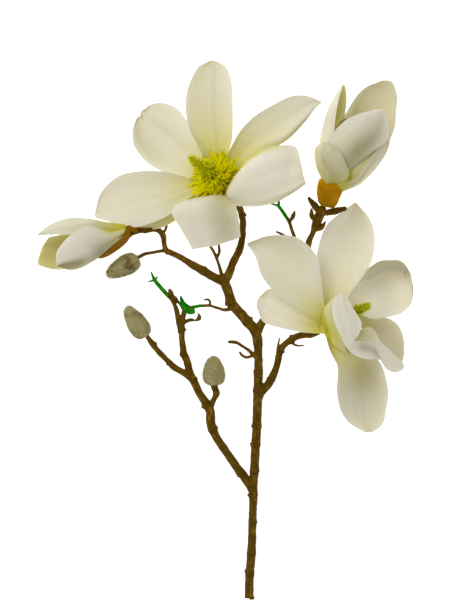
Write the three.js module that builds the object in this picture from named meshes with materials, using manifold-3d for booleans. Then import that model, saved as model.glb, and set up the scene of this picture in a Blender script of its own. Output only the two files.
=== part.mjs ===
// A flowering magnolia branch, cut and laid down on a surface: a woody branch with two open blooms, two opening
// buds, three furry winter buds and three green shoots. Millimetres, +Z up from the surface, +Y along the branch.
// The origin is the middle of the flat spot under the foot of the trunk.
import * as THREE from "three";
import { mergeVertices } from "three/addons/utils/BufferGeometryUtils.js";
import Module from "manifold-3d";

const wasm = await Module();
wasm.setup();

// ---- driving dimensions -------------------------------------------------------------------------------------

const gap = 0.3; // clearance between pieces that touch
const tepalThickness = 0.8;
const scaleThickness = 1.2; // bud scales and green leaves
const ringSpacing = 6.5; // of the rings along a limb
const thickLimb = 4; // limbs at least this thick are eight-sided and carry knots
const knotSpacing = 17;
const knotSwell = 0.14; // share of the radius that a knot stands out
const knotLength = 2.2;
const rootDepth = 0.12; // share of the way out from the heart of the bloom at which a tepal's root starts
const rootWidth = 0.5; // width there, as a share of the first width given
const goldenAngle = Math.PI * (3 - Math.sqrt(5));

// Routes of the woody limbs: x, y, z of the centre line, then the diameter there.
const limbs = {
  trunk: [
    [0, -12, 2.7, 5.7], [0.5, 4.5, 2.7, 5.9], [2, 25.5, 3, 5.7], [2.5, 43.5, 3.5, 5.3], [3, 57.5, 4, 5.6],
    [3.5, 75.5, 4.5, 5.6], [4.5, 93, 5, 6], [5.5, 110.5, 5.5, 6], [6, 128.5, 6, 6.3], [6.5, 146, 6.5, 6.1],
    [6.5, 162.5, 7.5, 5.5], [5, 175.5, 8.5, 7], [-1, 183.5, 9.5, 7], [-7.5, 191, 10.5, 7],
    [-12.5, 197, 11, 6.7], [-14.5, 204, 11.5, 6.6], [-16.5, 209.5, 12, 6.6], [-17.5, 214, 12.5, 5.6],
  ],
  trunkSpur: [[3, 93, 5, 2.1], [1, 97.5, 5.5, 1]],
  trunkTwig: [
    [6, 157.5, 7, 3.2], [2.5, 161, 8, 2.5], [-1, 164, 8.5, 2], [-5.5, 167, 9, 1.8], [-9, 169, 9, 1.8],
    [-14, 169.5, 9, 1],
  ],
  trunkTwigSide: [[4, 160, 8, 1.5], [-2, 158.5, 8, 1.4], [-5, 160, 8, 1.3], [-6.5, 162, 8.5, 0.9]],
  bloomStem: [
    [-17.5, 212.5, 12.5, 5.9], [-14, 218, 12.5, 5.6], [-11, 226, 13, 5.2], [-7, 234, 13, 4.9],
    [-5, 242, 13, 4.2], [-4.5, 248.5, 13.5, 4.2], [-4.5, 255.5, 15, 4.2], [-6.5, 263.5, 20, 4.2],
    [-11.5, 272.5, 28, 4.5], [-16.5, 279, 34, 4.9],
  ],
  forkTwig: [
    [-18.5, 213, 13, 2.7], [-20.5, 221, 13.5, 2.1], [-23, 228.5, 14, 1.8], [-25.5, 234, 14, 1.8],
    [-29, 239, 14, 1.5],
  ],
  forkTwigSide: [[-22.5, 228.5, 14, 1.4], [-21, 233, 14.5, 1.8], [-21.5, 238.5, 15, 1.4]],
  leftBough: [
    [-16.5, 211, 12, 5.9], [-26.5, 216, 12, 5.7], [-34, 220.5, 11.5, 5.6], [-39.5, 223.5, 11, 5.2],
    [-45, 227, 11, 4.2], [-51, 230.5, 10.5, 3.6], [-55.5, 232.5, 10.5, 4.2], [-59, 234, 10.5, 3.5],
  ],
  leftBudStem: [
    [-58.5, 233, 10.5, 3.5], [-60, 239, 11, 3.2], [-60.5, 244, 11.5, 3.9], [-63, 247.5, 12, 3.8],
    [-67, 249, 13, 3.5], [-72.5, 248, 14, 3.5], [-77, 248, 15, 3.8], [-83, 247, 17, 4.9],
  ],
  leftBudSpur: [[-61, 245.5, 11.8, 1.8], [-58.8, 249, 12, 1.6], [-58.2, 252, 12.2, 1.8]],
  leftFurryStem: [
    [-58, 234, 10.5, 2.8], [-63, 233.5, 10, 2.1], [-68, 232.5, 9.5, 2.1], [-73.5, 231.5, 9, 2.1],
    [-78.5, 229, 8.5, 2.4],
  ],
  sideBloomStem: [
    [6, 129, 6, 5.6], [9, 134.5, 6.5, 5.7], [13.5, 139.5, 7, 5.6], [17.5, 147, 8, 5], [20, 154.5, 9, 4.6],
    [21.5, 161.5, 10, 4.3], [24.5, 167, 12, 4.3], [30.5, 171.5, 14, 4.5], [36, 174, 17, 4.3],
    [43.5, 174.5, 20, 3.8], [50.5, 177.5, 24.5, 3.9],
  ],
  sideSpurLeft: [[20, 161.5, 10, 2], [20.5, 167.5, 11, 1.3], [21.5, 172, 12, 0.8]],
  sideSpurRight: [[28, 170, 13.5, 2.1], [33.5, 167, 14, 1.3], [38.5, 167, 15, 0.8]],
  middleTwig: [
    [-11.5, 193, 10.5, 3.1], [-17, 192, 10, 2.1], [-22.5, 193.5, 9.5, 1.8], [-28, 195, 9.5, 1.7],
    [-32.5, 195, 9.5, 2], [-34, 195, 9.5, 2],
  ],
  middleTwigBud: [[-28, 195, 9.5, 1.1], [-27.5, 197.5, 10, 1.4], [-29, 199.5, 10.3, 1.4], [-31.5, 199, 10.5, 0.9]],
  rightBough: [
    [5.5, 175, 8.5, 5.6], [9, 183, 8.5, 5.2], [16, 194, 8.5, 4.9], [26, 210.5, 9, 4.5], [35, 225, 10, 4.2],
    [41, 236, 11.5, 4.1], [42.5, 241, 12, 3.9], [45, 246.5, 13, 3.6], [47, 252.5, 14, 4.3],
    [49, 257, 15, 4.9], [51, 262, 17, 6],
  ],
  upperTwig: [
    [36.5, 226.5, 10.5, 2.5], [34.5, 235, 11.5, 2.2], [32.5, 242, 12, 2.1], [30.5, 247.5, 12, 2.1],
    [28.5, 253.5, 12.5, 2.1], [26.5, 257, 13, 2.1],
  ],
  upperTwigBud: [[29, 254.5, 12.5, 1.1], [31, 258, 13, 1.8], [32, 261.5, 13.5, 0.8]],
  hiddenTwig: [[35, 233, 11, 1.8], [29.5, 239, 12, 1.7], [24.5, 244.5, 12.5, 1.8], [19.5, 247, 13, 1.1]],
  budLeafLeft: [[47, 254, 14, 1.7], [44, 258.5, 15, 2], [44, 263, 16, 0.9]],
  budLeafRight: [[46, 248, 13, 1.4], [51, 250, 14, 2], [53.5, 254, 15, 0.9]],
  collarLeafLeft: [[50, 260, 16, 2.4], [46, 265.5, 20, 2.6], [41.5, 270.5, 21, 1]],
  collarLeafRight: [[51, 260, 15, 2.5], [60, 261.5, 14, 3], [67.5, 263.5, 15, 2.1]],
  lowerBough: [
    [3, 64, 4, 5.6], [-3.5, 74, 4.5, 5.9], [-7.5, 79, 5, 5.7], [-12.5, 86.5, 5.5, 5.6], [-17.5, 93.5, 6, 5.5],
    [-23, 102, 6, 5.6], [-27, 111.5, 6, 6.3], [-27.5, 120, 6.5, 6.3], [-30, 125.5, 6.5, 5.6],
    [-35, 133, 7, 5], [-38.5, 140.5, 7, 5.3], [-41.5, 146.5, 7, 5.2],
  ],
  shootStem: [
    [-41, 144, 7, 4.9], [-42.5, 150.5, 7.5, 4.9], [-44, 156, 8, 5], [-46, 161.5, 8, 4.2], [-47, 167, 8, 4.1],
    [-47.5, 173, 8.5, 4.1], [-47.5, 179, 9, 3.9], [-47, 185, 9, 3.5], [-46, 190, 9.5, 3.2],
    [-45.5, 192, 10, 2.8],
  ],
  shootTwigLeft: [
    [-48, 175.5, 8.7, 3.2], [-50, 184, 9, 3.1], [-51, 191, 9.5, 3.4], [-52.5, 195.5, 10, 2.9],
    [-54.5, 199.5, 10.5, 2.7], [-57.5, 202.5, 11, 2.7],
  ],
  shootKnob: [[-54.5, 201, 10.8, 2.1], [-55, 203.5, 11.2, 3.5], [-56, 206, 11.5, 2.1]],
  shootSmallBud: [[-46.5, 192.5, 10, 1.4], [-49.5, 197, 11, 1.5], [-52, 200, 11.5, 2.8], [-53, 201.5, 11.5, 1.7]],
  shootSideTwig: [
    [-47, 182, 9, 2.1], [-43, 184.5, 9.5, 2.2], [-40, 185, 9.5, 2], [-38, 184.5, 9.5, 0.8],
    [-35.5, 186, 9.5, 3.1], [-35, 187.5, 10, 2.4], [-36, 189.5, 10, 0.7],
  ],
  furryStem: [
    [-40.5, 143.5, 7, 4.6], [-44.5, 146.5, 7, 4.2], [-48.5, 149, 7, 4.2], [-53.5, 152, 7, 4.5],
    [-58, 156.5, 7, 3.5], [-62.5, 161, 7.5, 3.9], [-66, 165, 7.5, 3.4], [-69, 169, 7.5, 3.5],
    [-72, 173.5, 7.5, 2.7],
  ],
  furryStemRight: [[-28, 121.5, 6.5, 4.2], [-25, 128.5, 7, 3.5], [-23, 133, 8, 4.5], [-24, 136.5, 8.5, 4.5], [-24.5, 138.5, 9, 4.5]],
};

// Tepals (magnolia petals), each given by its two edges from root to tip. sag is how deep the blade is dished
// between them, as a share of half its width, on the side away from face; notch is the depth of a cleft in the tip.
const blooms = {
  large_bloom: {
    base: [-18.5, 280.5, 36],
    axis: [-0.56, 0.42, 0.71],
    receptacle: [[-4, 3.4], [-1.5, 5.6], [1, 6], [2.5, 4.6]],
    column: { radius: 3.4, from: 2.5, to: 13, stamens: 44, stamenLength: 18, spread: 78, pistil: 42 },
    tepals: {
      top: {
        edges: [
          [[-30, 301, 38], [-41, 317, 36], [-44.5, 331.5, 30], [-42, 349, 25], [-30, 364.5, 21], [-26, 367.5, 19]],
          [[-17, 299.5, 38], [-12, 311.5, 36], [-11.5, 326.5, 30], [-13.5, 349, 24], [-20, 363, 20], [-24.5, 367.5, 19]],
        ],
      },
      upperRight: {
        edges: [
          [[-12.5, 302.5, 42], [-1.5, 322.5, 47], [13, 336, 51], [29, 341.5, 51], [42, 340.5, 48], [49.5, 337.5, 45]],
          [[-4.5, 292, 38], [8.5, 302, 40], [25, 308.5, 42], [38.5, 321.5, 44], [46, 331, 45], [50.5, 336.5, 45]],
        ],
      },
      right: {
        edges: [
          [[-9.5, 284.5, 42], [-1.5, 296.5, 56], [10.5, 303, 68], [25.5, 305, 76], [35, 298.5, 79]],
          [[-16, 274, 40], [-9.5, 266.5, 50], [8.5, 264, 63], [24.5, 269.5, 71], [38, 278, 75]],
        ],
        sag: 0.2,
      },
      bottom: {
        edges: [
          [[-29, 272, 42], [-46.5, 269, 56], [-53, 263.5, 60], [-48, 250.5, 54], [-40, 235, 44]],
          [[-15.5, 274, 42], [-10.5, 270, 50], [-9.5, 262, 58], [-7.5, 253.5, 54], [-6, 243, 46]],
        ],
        sag: 0.1,
      },
      left: {
        edges: [
          [[-39.5, 282, 38], [-57.5, 288.5, 33], [-76, 289.5, 27], [-92, 286, 21], [-104.5, 274.5, 17], [-108.5, 261, 15]],
          [[-40, 271.5, 36], [-55.5, 260, 30], [-73, 253.5, 24], [-89.5, 254, 19], [-103, 256.5, 16], [-108.5, 257.5, 15]],
        ],
      },
      lowerLeftBehind: {
        edges: [
          [[-41.5, 277.5, 34], [-55.5, 267, 28], [-66, 260, 24], [-76.5, 256.5, 21], [-83, 251.5, 19]],
          [[-40, 269, 32], [-50, 256, 25], [-62.5, 249.5, 21], [-74, 248.5, 19], [-82.5, 249, 18]],
        ],
      },
      upperLeft: {
        edges: [
          [[-37.5, 288, 36], [-53.5, 289.5, 30], [-70, 294, 24], [-80.5, 306.5, 19], [-82, 319.5, 17], [-79, 326.5, 17]],
          [[-32, 303.5, 38], [-41, 320.5, 33], [-49.5, 332.5, 26], [-60.5, 337.5, 20], [-69.5, 336.5, 17], [-75, 332.5, 17]],
        ],
        notch: 3,
      },
    },
  },
  side_bloom: {
    base: [54, 180, 27],
    axis: [0.76, 0.4, 0.515],
    receptacle: [[-4, 2.8], [-1.5, 4.8], [1, 5.2], [2.5, 4.2]],
    column: { radius: 3, from: 2.5, to: 12, stamens: 20, stamenLength: 11, spread: 50, pistil: 40 },
    tepals: {
      upperLeft: {
        edges: [
          [[53, 192, 34], [50, 213, 36], [47, 229.5, 37], [33.5, 242.5, 37], [14, 244, 34], [-0.5, 239, 31]],
          [[50.5, 183.5, 30], [37, 192, 33], [18, 204.5, 36], [8.5, 216, 37], [4.5, 228.5, 34], [-1.5, 237.5, 31]],
        ],
      },
      top: {
        edges: [
          [[51, 187, 30], [47.5, 210, 28], [47.5, 231, 24], [53.5, 250, 19], [64.5, 260.5, 15], [73.5, 267.5, 13]],
          [[67.5, 199.5, 31], [76.5, 210.5, 27], [85.5, 225.5, 23], [88.5, 241.5, 18], [85, 256.5, 15], [76, 267.5, 13]],
        ],
      },
      right: {
        edges: [
          [[69.5, 201.5, 29], [77, 211, 25], [85, 223.5, 21], [96, 227, 18], [108.5, 225, 18], [111.5, 217.5, 20]],
          [[70.5, 192, 28], [79, 185.5, 25], [94, 186.5, 21], [107, 190, 17], [115, 198.5, 17], [114, 211.5, 19]],
        ],
        notch: 2,
      },
      lowerRightBehind: {
        edges: [
          [[75, 189, 27], [86.5, 186, 24], [97, 186.5, 22], [105, 181, 20], [109, 171, 18], [109, 161.5, 17]],
          [[75, 182.5, 25], [81.5, 175, 23], [87.5, 166.5, 21], [93, 159.5, 19], [100.5, 154, 18], [107.5, 154.5, 17]],
        ],
        sag: 0.15,
      },
      lowerRight: {
        edges: [
          [[76, 185.5, 30], [85, 180, 36], [91, 172, 36], [96.5, 162.5, 34], [102.5, 157, 31], [108.5, 155, 29]],
          [[72.5, 181, 27], [81, 173, 34], [88, 165, 34], [93, 154.5, 32], [100, 149.5, 29], [108, 148, 28]],
        ],
        sag: 0.35,
      },
      bottom: {
        edges: [
          [[53.5, 176, 28], [59, 162.5, 29], [62, 150, 27], [61.5, 135, 22], [65, 120, 16], [78, 108, 12]],
          [[69.5, 175, 30], [82, 164.5, 31], [92.5, 154, 27], [97.5, 137, 21], [95.5, 121, 15], [87, 106.5, 12]],
        ],
      },
      left: {
        edges: [
          [[52, 185.5, 29], [39, 192, 29], [24.5, 202, 27], [14, 207, 25], [7, 201.5, 24]],
          [[52, 175.5, 25], [37, 176.5, 26], [20, 180, 25], [9.5, 184, 24], [5, 194, 24]],
        ],
      },
      frontStanding: {
        edges: [
          [[67, 166.5, 46], [61, 171.5, 54], [58, 179.5, 61], [56.5, 191, 67], [58, 201, 71], [62, 204, 73]],
          [[73.5, 168.5, 48], [76, 175, 56], [76.5, 182, 63], [72, 192, 69], [68.5, 199, 72], [65, 203.5, 73]],
        ],
        sag: 0.35, face: [0, 0, -1],
      },
      frontCurl: {
        edges: [
          [[60, 180.5, 36], [71, 171.5, 48], [78, 174, 53], [85.5, 172.5, 53], [89.5, 166, 48]],
          [[57, 175, 30], [62.5, 167, 36], [70, 161, 42], [79.5, 158.5, 45], [89, 159.5, 45]],
        ],
        sag: 0.5, face: [0, 0.6, 1],
      },
    },
  },
  upper_bud: {
    base: [54.5, 263.5, 19],
    axis: [0.36, 0.93, 0.05],
    heart: [[15, 5], [18, 7.5], [23, 10], [28, 11], [34, 9], [41, 4]],
    tepals: {
      backTall: {
        edges: [
          [[53.5, 284.5, 12], [58, 307.5, 10], [66.5, 327.5, 9], [76, 343, 12], [86, 351, 15], [93.5, 353, 17]],
          [[66.5, 281, 11], [89, 296.5, 5.5], [101.5, 316.5, 7], [104, 333.5, 10], [103.5, 346, 14], [99.5, 352.5, 17]],
        ],
        sag: 0.4,
      },
      backInner: {
        edges: [
          [[53.5, 284.5, 14], [54.5, 303, 9], [58, 313.5, 9], [62.5, 323, 12], [66.5, 326.5, 14]],
          [[62.5, 285.5, 14], [74.5, 301, 8], [79, 311.5, 8], [76.5, 321, 11], [69.5, 326.5, 14]],
        ],
        sag: 0.4,
      },
      leftTall: {
        edges: [
          [[53, 283, 22], [54.5, 302, 31], [58, 313.5, 33], [60, 327.5, 33], [63, 340.5, 30], [66, 350, 26]],
          [[58, 283, 14], [61, 305.5, 13], [64, 318, 12], [67.5, 330.5, 14], [68, 341, 19], [67, 349.5, 24]],
        ],
        sag: 0.9, face: [1, -0.2, 0.6],
      },
      frontLeft: {
        edges: [
          [[51.5, 280.5, 19], [47.5, 289.5, 30], [45.5, 298.5, 32], [46, 305.5, 35], [50.5, 309.5, 38]],
          [[62, 278, 21], [70, 286, 30], [67, 295, 37], [62.5, 303.5, 41], [56.5, 308.5, 40]],
        ],
        sag: 0.45, face: [0.3, 0, -1],
      },
      frontBig: {
        edges: [
          [[57.5, 279.5, 21], [55, 296.5, 31], [56.5, 311.5, 34], [66, 323.5, 37], [78.5, 329.5, 37], [90.5, 332.5, 35]],
          [[64, 277.5, 19], [74, 289.5, 24], [87.5, 299.5, 25], [96.5, 310.5, 28], [97.5, 323, 31], [94.5, 332, 34]],
        ],
        sag: 0.45, face: [-0.1, 0.1, -1],
      },
      rightLow: {
        edges: [
          [[63.5, 278, 22], [74.5, 282.5, 27], [81.5, 290.5, 29], [87.5, 300, 29], [94.5, 306, 27], [98, 310.5, 25]],
          [[62.5, 279, 13], [71, 287, 7], [81, 295.5, 5], [88.5, 303, 8], [94.5, 308, 14], [98.5, 310, 23]],
        ],
        sag: 0.7, face: [-0.5, 0.6, 0.3],
      },
    },
  },
  left_bud: {
    base: [-86.5, 245.5, 18],
    axis: [-0.98, -0.18, 0.05],
    heart: [[5.5, 4], [9, 6.5], [14, 9.5], [20, 11], [26, 10.5], [34, 6]],
    tepals: {
      upper: {
        edges: [
          [[-87.5, 250, 17], [-100, 252.5, 16], [-112.5, 254, 16], [-126.5, 256, 18], [-139, 251.5, 20], [-148.5, 245, 24]],
          [[-89.5, 247.5, 21], [-101, 248, 23], [-112, 250, 26], [-124, 245.5, 28], [-136, 245, 27], [-148, 244, 25]],
        ],
        sag: 0.3, face: [0, -0.7, -0.7],
      },
      front: {
        edges: [
          [[-88, 249.5, 26], [-98, 247, 30], [-105.5, 249, 30], [-115.5, 250.5, 30], [-126.5, 243, 31], [-134.5, 233, 28], [-135.5, 223.5, 25]],
          [[-93.5, 237.5, 22], [-103.5, 230, 18], [-111.5, 225, 14], [-119, 221, 15], [-126.5, 220, 18], [-132, 221.5, 21], [-135, 222, 24]],
        ],
        sag: 0.4, face: [0, 0.4, -1],
      },
      back: {
        edges: [
          [[-91, 248, 14], [-106.5, 251, 11], [-121.5, 248, 11], [-133, 245, 13], [-141, 243.5, 17]],
          [[-97.5, 234.5, 12], [-113, 226.5, 8], [-126.5, 221.5, 8], [-138, 220.5, 11], [-149, 223.5, 16]],
        ],
        sag: 0.3,
      },
      under: {
        edges: [
          [[-91, 249, 10], [-101.5, 249.5, 5], [-111.5, 249, 3.5], [-122, 247, 5], [-130.5, 242.5, 9]],
          [[-97.5, 234.5, 10], [-108, 228.5, 4], [-118, 225, 3.5], [-127, 223.5, 5], [-133, 225.5, 9]],
        ],
        sag: 0.3,
      },
    },
  },
};

// Cups of bud scales round the foot of each opening bud: height along the bud's axis, then the radius there.
const cups = {
  upper_bud: { axis: [0.13, 0.99, 0.05], rows: [[-1, 4.6], [2, 6.5], [6, 7.5], [10, 8.3], [14, 8.2], [17, 6.8], [18.8, 4]] },
  left_bud: { axis: [-0.98, -0.18, 0.05], rows: [[-3, 2.8], [0, 3.6], [3, 4.6], [6, 5.2]] },
};

// The long scale under the left bud, a blade like the tepals.
const sideScale = {
  edges: [
    [[-78, 248, 20], [-85, 251, 25], [-87.5, 244.5, 28], [-93, 238, 27], [-100, 232.5, 24], [-106, 229, 19]],
    [[-78.5, 246.5, 14], [-83.5, 245, 9], [-88.5, 240.5, 5], [-95, 236.5, 4], [-100.5, 232, 8], [-105.5, 228.5, 16]],
  ],
  sag: 0.4,
  face: [-0.5, 0.8, 0],
};

// Furry winter buds: foot and tip, and the widest diameter. The profile is in shares of length and of width.
const budProfile = [[0, 0.36], [0.1, 0.76], [0.25, 0.96], [0.42, 1], [0.62, 0.92], [0.8, 0.7], [0.93, 0.4], [1, 0.14]];
const furryBuds = {
  furry_bud_upper: { foot: [-78.5, 229, 8.5], tip: [-100.5, 218, 8.5], diameter: 14 },
  furry_bud_left: { foot: [-72, 173.5, 7.5], tip: [-84.5, 194, 9], diameter: 14.5 },
  furry_bud_middle: { foot: [-24.5, 138.5, 9], tip: [-25.5, 158, 9], diameter: 15.5 },
};

// Green shoots: limbs as above, and small leaves as blades between two edges.
const greenShoots = {
  green_shoot_left: {
    limbs: [
      [[-57.5, 202.5, 11, 2.7], [-62.5, 208, 11.5, 2.7], [-66.5, 213, 12, 2.4], [-69, 218.5, 12.5, 0.8]],
      [[-66.5, 213, 12, 1.5], [-71, 212, 12.5, 0.7]],
      [[-66, 213.5, 12, 1.4], [-64.5, 215.5, 12.5, 0.7]],
    ],
    leaves: [],
  },
  green_shoot_middle: {
    limbs: [[[-34, 195, 9.5, 2], [-37, 194.5, 11, 2.1], [-41.5, 193.5, 13, 2.4]]],
    leaves: [
      { edges: [[[-40.5, 195.5, 13], [-43, 200, 14], [-47.5, 202.5, 15]], [[-42, 192.5, 13], [-47, 195, 14], [-49, 201, 15]]] },
      { edges: [[[-46, 197.5, 14], [-40.5, 195.5, 14], [-38, 190.5, 13]], [[-48, 193, 14], [-43, 189.5, 14], [-38.5, 188.5, 13]]] },
    ],
  },
  green_shoot_upper: {
    limbs: [
      [[26.5, 257, 13, 2.2], [23.5, 261.5, 13.5, 2.2], [20.5, 265.5, 14, 2.1]],
      [[20.8, 265, 14, 1.7], [21, 271.5, 15, 1.4]],
      [[20.8, 265.2, 14, 1.4], [17, 266.5, 14.5, 1.1], [12, 267.5, 15, 0.7]],
    ],
    leaves: [],
  },
};

const colours = {
  bark: { color: "#5a3d0a", roughness: 0.85 },
  tepal: { color: "#e2dcc6", roughness: 0.55 },
  stamen: { color: "#b9b40c", roughness: 0.6 },
  pistil: { color: "#8a9410", roughness: 0.6 },
  budScale: { color: "#8f5f06", roughness: 0.7 },
  fur: { color: "#98926c", roughness: 0.95 },
  shoot: { color: "#1c7a08", roughness: 0.6 },
};

// ---- solids -------------------------------------------------------------------------------------------------

const vector = (p) => new THREE.Vector3(p[0], p[1], p[2]);
const mix = THREE.MathUtils.lerp;

// A closed geometry as a manifold solid.
function solidOf(geometry) {
  const bare = new THREE.BufferGeometry().setIndex(geometry.index).setAttribute("position", geometry.attributes.position);
  const merged = mergeVertices(bare, 1e-4);
  const mesh = new wasm.Mesh({
    numProp: 3,
    vertProperties: new Float32Array(merged.attributes.position.array),
    triVerts: new Uint32Array(merged.index.array),
  });
  return new wasm.Manifold(mesh);
}

function geometryOf(solid) {
  const mesh = solid.getMesh();
  const geometry = new THREE.BufferGeometry();
  geometry.setAttribute("position", new THREE.BufferAttribute(new Float32Array(mesh.vertProperties), 3));
  geometry.setIndex(new THREE.BufferAttribute(new Uint32Array(mesh.triVerts), 1));
  geometry.computeVertexNormals();
  return geometry;
}

const fused = (solids) => solids.reduce((whole, one) => whole.add(one));

// The largest body of a solid: scraps that a cut leaves loose are dropped.
const mainBody = (solid) => solid.decompose().reduce((a, b) => (a.volume() > b.volume() ? a : b));

// A closed grid of rings or rows, from points[row][column] with the same column count in each row.
function closedTube(rings) {
  const sides = rings[0].length;
  const positions = rings.flat().flatMap((p) => [p.x, p.y, p.z]);
  const index = [];
  for (let ring = 0; ring < rings.length - 1; ring++)
    for (let side = 0; side < sides; side++) {
      const a = ring * sides + side;
      const b = ring * sides + ((side + 1) % sides);
      index.push(a, b, a + sides, b, b + sides, a + sides);
    }
  const last = (rings.length - 1) * sides;
  for (let side = 1; side < sides - 1; side++) {
    index.push(0, side + 1, side);
    index.push(last, last + side, last + side + 1);
  }
  const geometry = new THREE.BufferGeometry();
  geometry.setAttribute("position", new THREE.BufferAttribute(new Float32Array(positions), 3));
  geometry.setIndex(index);
  return geometry;
}

// A tapered limb along a route of [x, y, z, diameter] rows. grow swells it all round.
function limb(route, { sides, grow = 0 } = {}) {
  const curve = new THREE.CatmullRomCurve3(route.map(vector), false, "centripetal");
  const length = curve.getLength();
  const thick = Math.max(...route.map((row) => row[3])) >= thickLimb;
  const around = sides ?? (thick ? 8 : 5);
  const steps = Math.max(route.length - 1, Math.round(length / ringSpacing));
  const frames = curve.computeFrenetFrames(steps, false);
  const rings = [];
  for (let step = 0; step <= steps; step++) {
    const along = step / steps;
    const place = curve.getUtoTmapping(along) * (route.length - 1);
    const row = Math.min(Math.floor(place), route.length - 2);
    const knot = ((along * length + knotSpacing / 2) % knotSpacing) - knotSpacing / 2;
    const swell = thick ? 1 + knotSwell * Math.exp(-((knot / knotLength) ** 2)) : 1;
    const radius = (swell * mix(route[row][3], route[row + 1][3], place - row)) / 2 + grow;
    const centre = curve.getPointAt(along);
    if (step === 0) centre.addScaledVector(frames.tangents[0], -grow);
    if (step === steps) centre.addScaledVector(frames.tangents[steps], grow);
    rings.push(
      Array.from({ length: around }, (_, side) => {
        const angle = (2 * Math.PI * side) / around;
        return centre
          .clone()
          .addScaledVector(frames.normals[step], radius * Math.cos(angle))
          .addScaledVector(frames.binormals[step], radius * Math.sin(angle));
      }),
    );
  }
  return solidOf(closedTube(rings));
}

// The middle surface of a blade between two edge curves: u runs from root to tip, v from -1 to 1 across.
function bladePoint(blade, u, v) {
  const { curves, sag = 0.28, face = [0, 0, 1], notch = 0 } = blade;
  const step = 0.01;
  const [left, right] = curves.map((curve) => curve.getPoint(u));
  const middle = (at) => curves[0].getPoint(at).add(curves[1].getPoint(at)).divideScalar(2);
  const along = middle(Math.min(u + step, 1)).sub(middle(Math.max(u - step, 0))).normalize();
  const chord = right.clone().sub(left);
  const half = chord.length() / 2;
  chord.normalize();
  const inward = vector(face);
  inward.addScaledVector(chord, -inward.dot(chord));
  inward.addScaledVector(along, -inward.dot(along)).normalize();
  const cleft = notch * Math.exp(-((v / 0.3) ** 2)) * u ** 10;
  return middle(u)
    .addScaledVector(chord, half * v)
    .addScaledVector(inward, -sag * half * (1 - v * v))
    .addScaledVector(along, -cleft);
}

// A blade of even thickness, both faces split alike. Its root is sunk to base where one is given.
function bladeSolid(blade, { thickness, base, rows = 7, columns = 4 }) {
  const edges = blade.edges.map((edge) => edge.map(vector));
  if (base) {
    const root = edges[0][0].clone().add(edges[1][0]).divideScalar(2);
    const sunk = vector(base).lerp(root, rootDepth);
    edges.forEach((edge) => edge.unshift(edge[0].clone().sub(root).multiplyScalar(rootWidth).add(sunk)));
  }
  const shaped = { ...blade, curves: edges.map((edge) => new THREE.CatmullRomCurve3(edge, false, "catmullrom", 0.5)) };
  const faces = [[], []];
  const step = 0.02;
  for (let row = 0; row <= rows; row++)
    for (let column = 0; column <= columns; column++) {
      const u = row / rows;
      const v = (2 * column) / columns - 1;
      const middle = bladePoint(shaped, u, v);
      const before = bladePoint(shaped, Math.max(u - step, 0), v);
      const after = bladePoint(shaped, Math.min(u + step, 1), v);
      const across = bladePoint(shaped, u, v + step).sub(bladePoint(shaped, u, v - step));
      const normal = after.sub(before).cross(across).normalize();
      faces[0].push(middle.clone().addScaledVector(normal, -thickness / 2));
      faces[1].push(middle.clone().addScaledVector(normal, thickness / 2));
    }
  const stride = columns + 1;
  const count = faces[0].length;
  const index = [];
  for (let row = 0; row < rows; row++)
    for (let column = 0; column < columns; column++) {
      const a = row * stride + column;
      const quad = [a, a + stride, a + 1, a + 1, a + stride, a + stride + 1];
      index.push(...quad.map((i) => i + count));
      index.push(...quad.toReversed());
    }
  const rim = [];
  for (let column = 0; column < columns; column++) rim.push(column);
  for (let row = 0; row < rows; row++) rim.push(row * stride + columns);
  for (let column = columns; column > 0; column--) rim.push(rows * stride + column);
  for (let row = rows; row > 0; row--) rim.push(row * stride);
  rim.forEach((a, i) => {
    const b = rim[(i + 1) % rim.length];
    index.push(a, a + count, b, b, a + count, b + count);
  });
  const geometry = new THREE.BufferGeometry();
  const positions = faces.flat().flatMap((p) => [p.x, p.y, p.z]);
  geometry.setAttribute("position", new THREE.BufferAttribute(new Float32Array(positions), 3));
  geometry.setIndex(index);
  const solid = solidOf(geometry);
  if (solid.volume() > 0) return solid;
  geometry.setIndex(index.toReversed());
  return solidOf(geometry);
}

// A turned solid from [height, radius] rows, standing on `base` along `axis`. grow widens it all round.
function turned(rows, base, axis, { sides = 12, grow = 0 } = {}) {
  const upright = vector(axis).normalize();
  const turn = new THREE.Quaternion().setFromUnitVectors(new THREE.Vector3(0, 0, 1), upright);
  const rings = rows.map(([height, radius], i) =>
    Array.from({ length: sides }, (_, side) => {
      const angle = (2 * Math.PI * side) / sides;
      const end = i === 0 ? -grow : i === rows.length - 1 ? grow : 0;
      return new THREE.Vector3((radius + grow) * Math.cos(angle), (radius + grow) * Math.sin(angle), height + end)
        .applyQuaternion(turn)
        .add(vector(base));
    }),
  );
  return solidOf(closedTube(rings));
}

// Unit vectors square to an axis, for setting things round it.
function square(axis) {
  const along = vector(axis).normalize();
  const first = new THREE.Vector3(0, 0, 1).cross(along).normalize();
  return { along, first, second: along.clone().cross(first) };
}

// ---- sub-parts ----------------------------------------------------------------------------------------------

const floorCut = turned([[-20, 400], [0, 400]], [0, 150, 0], [0, 0, 1], { sides: 4 });

function woodSolid() {
  return mainBody(fused(Object.values(limbs).map((route) => limb(route))).subtract(floorCut));
}

// Clearance round all the wood.
const woodRoom = fused(Object.values(limbs).map((route) => limb(route, { grow: gap })));

function tepalSolids({ tepals, base }, grow = 0) {
  return Object.values(tepals).map((tepal) => bladeSolid(tepal, { thickness: tepalThickness + 2 * grow, base }));
}

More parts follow.
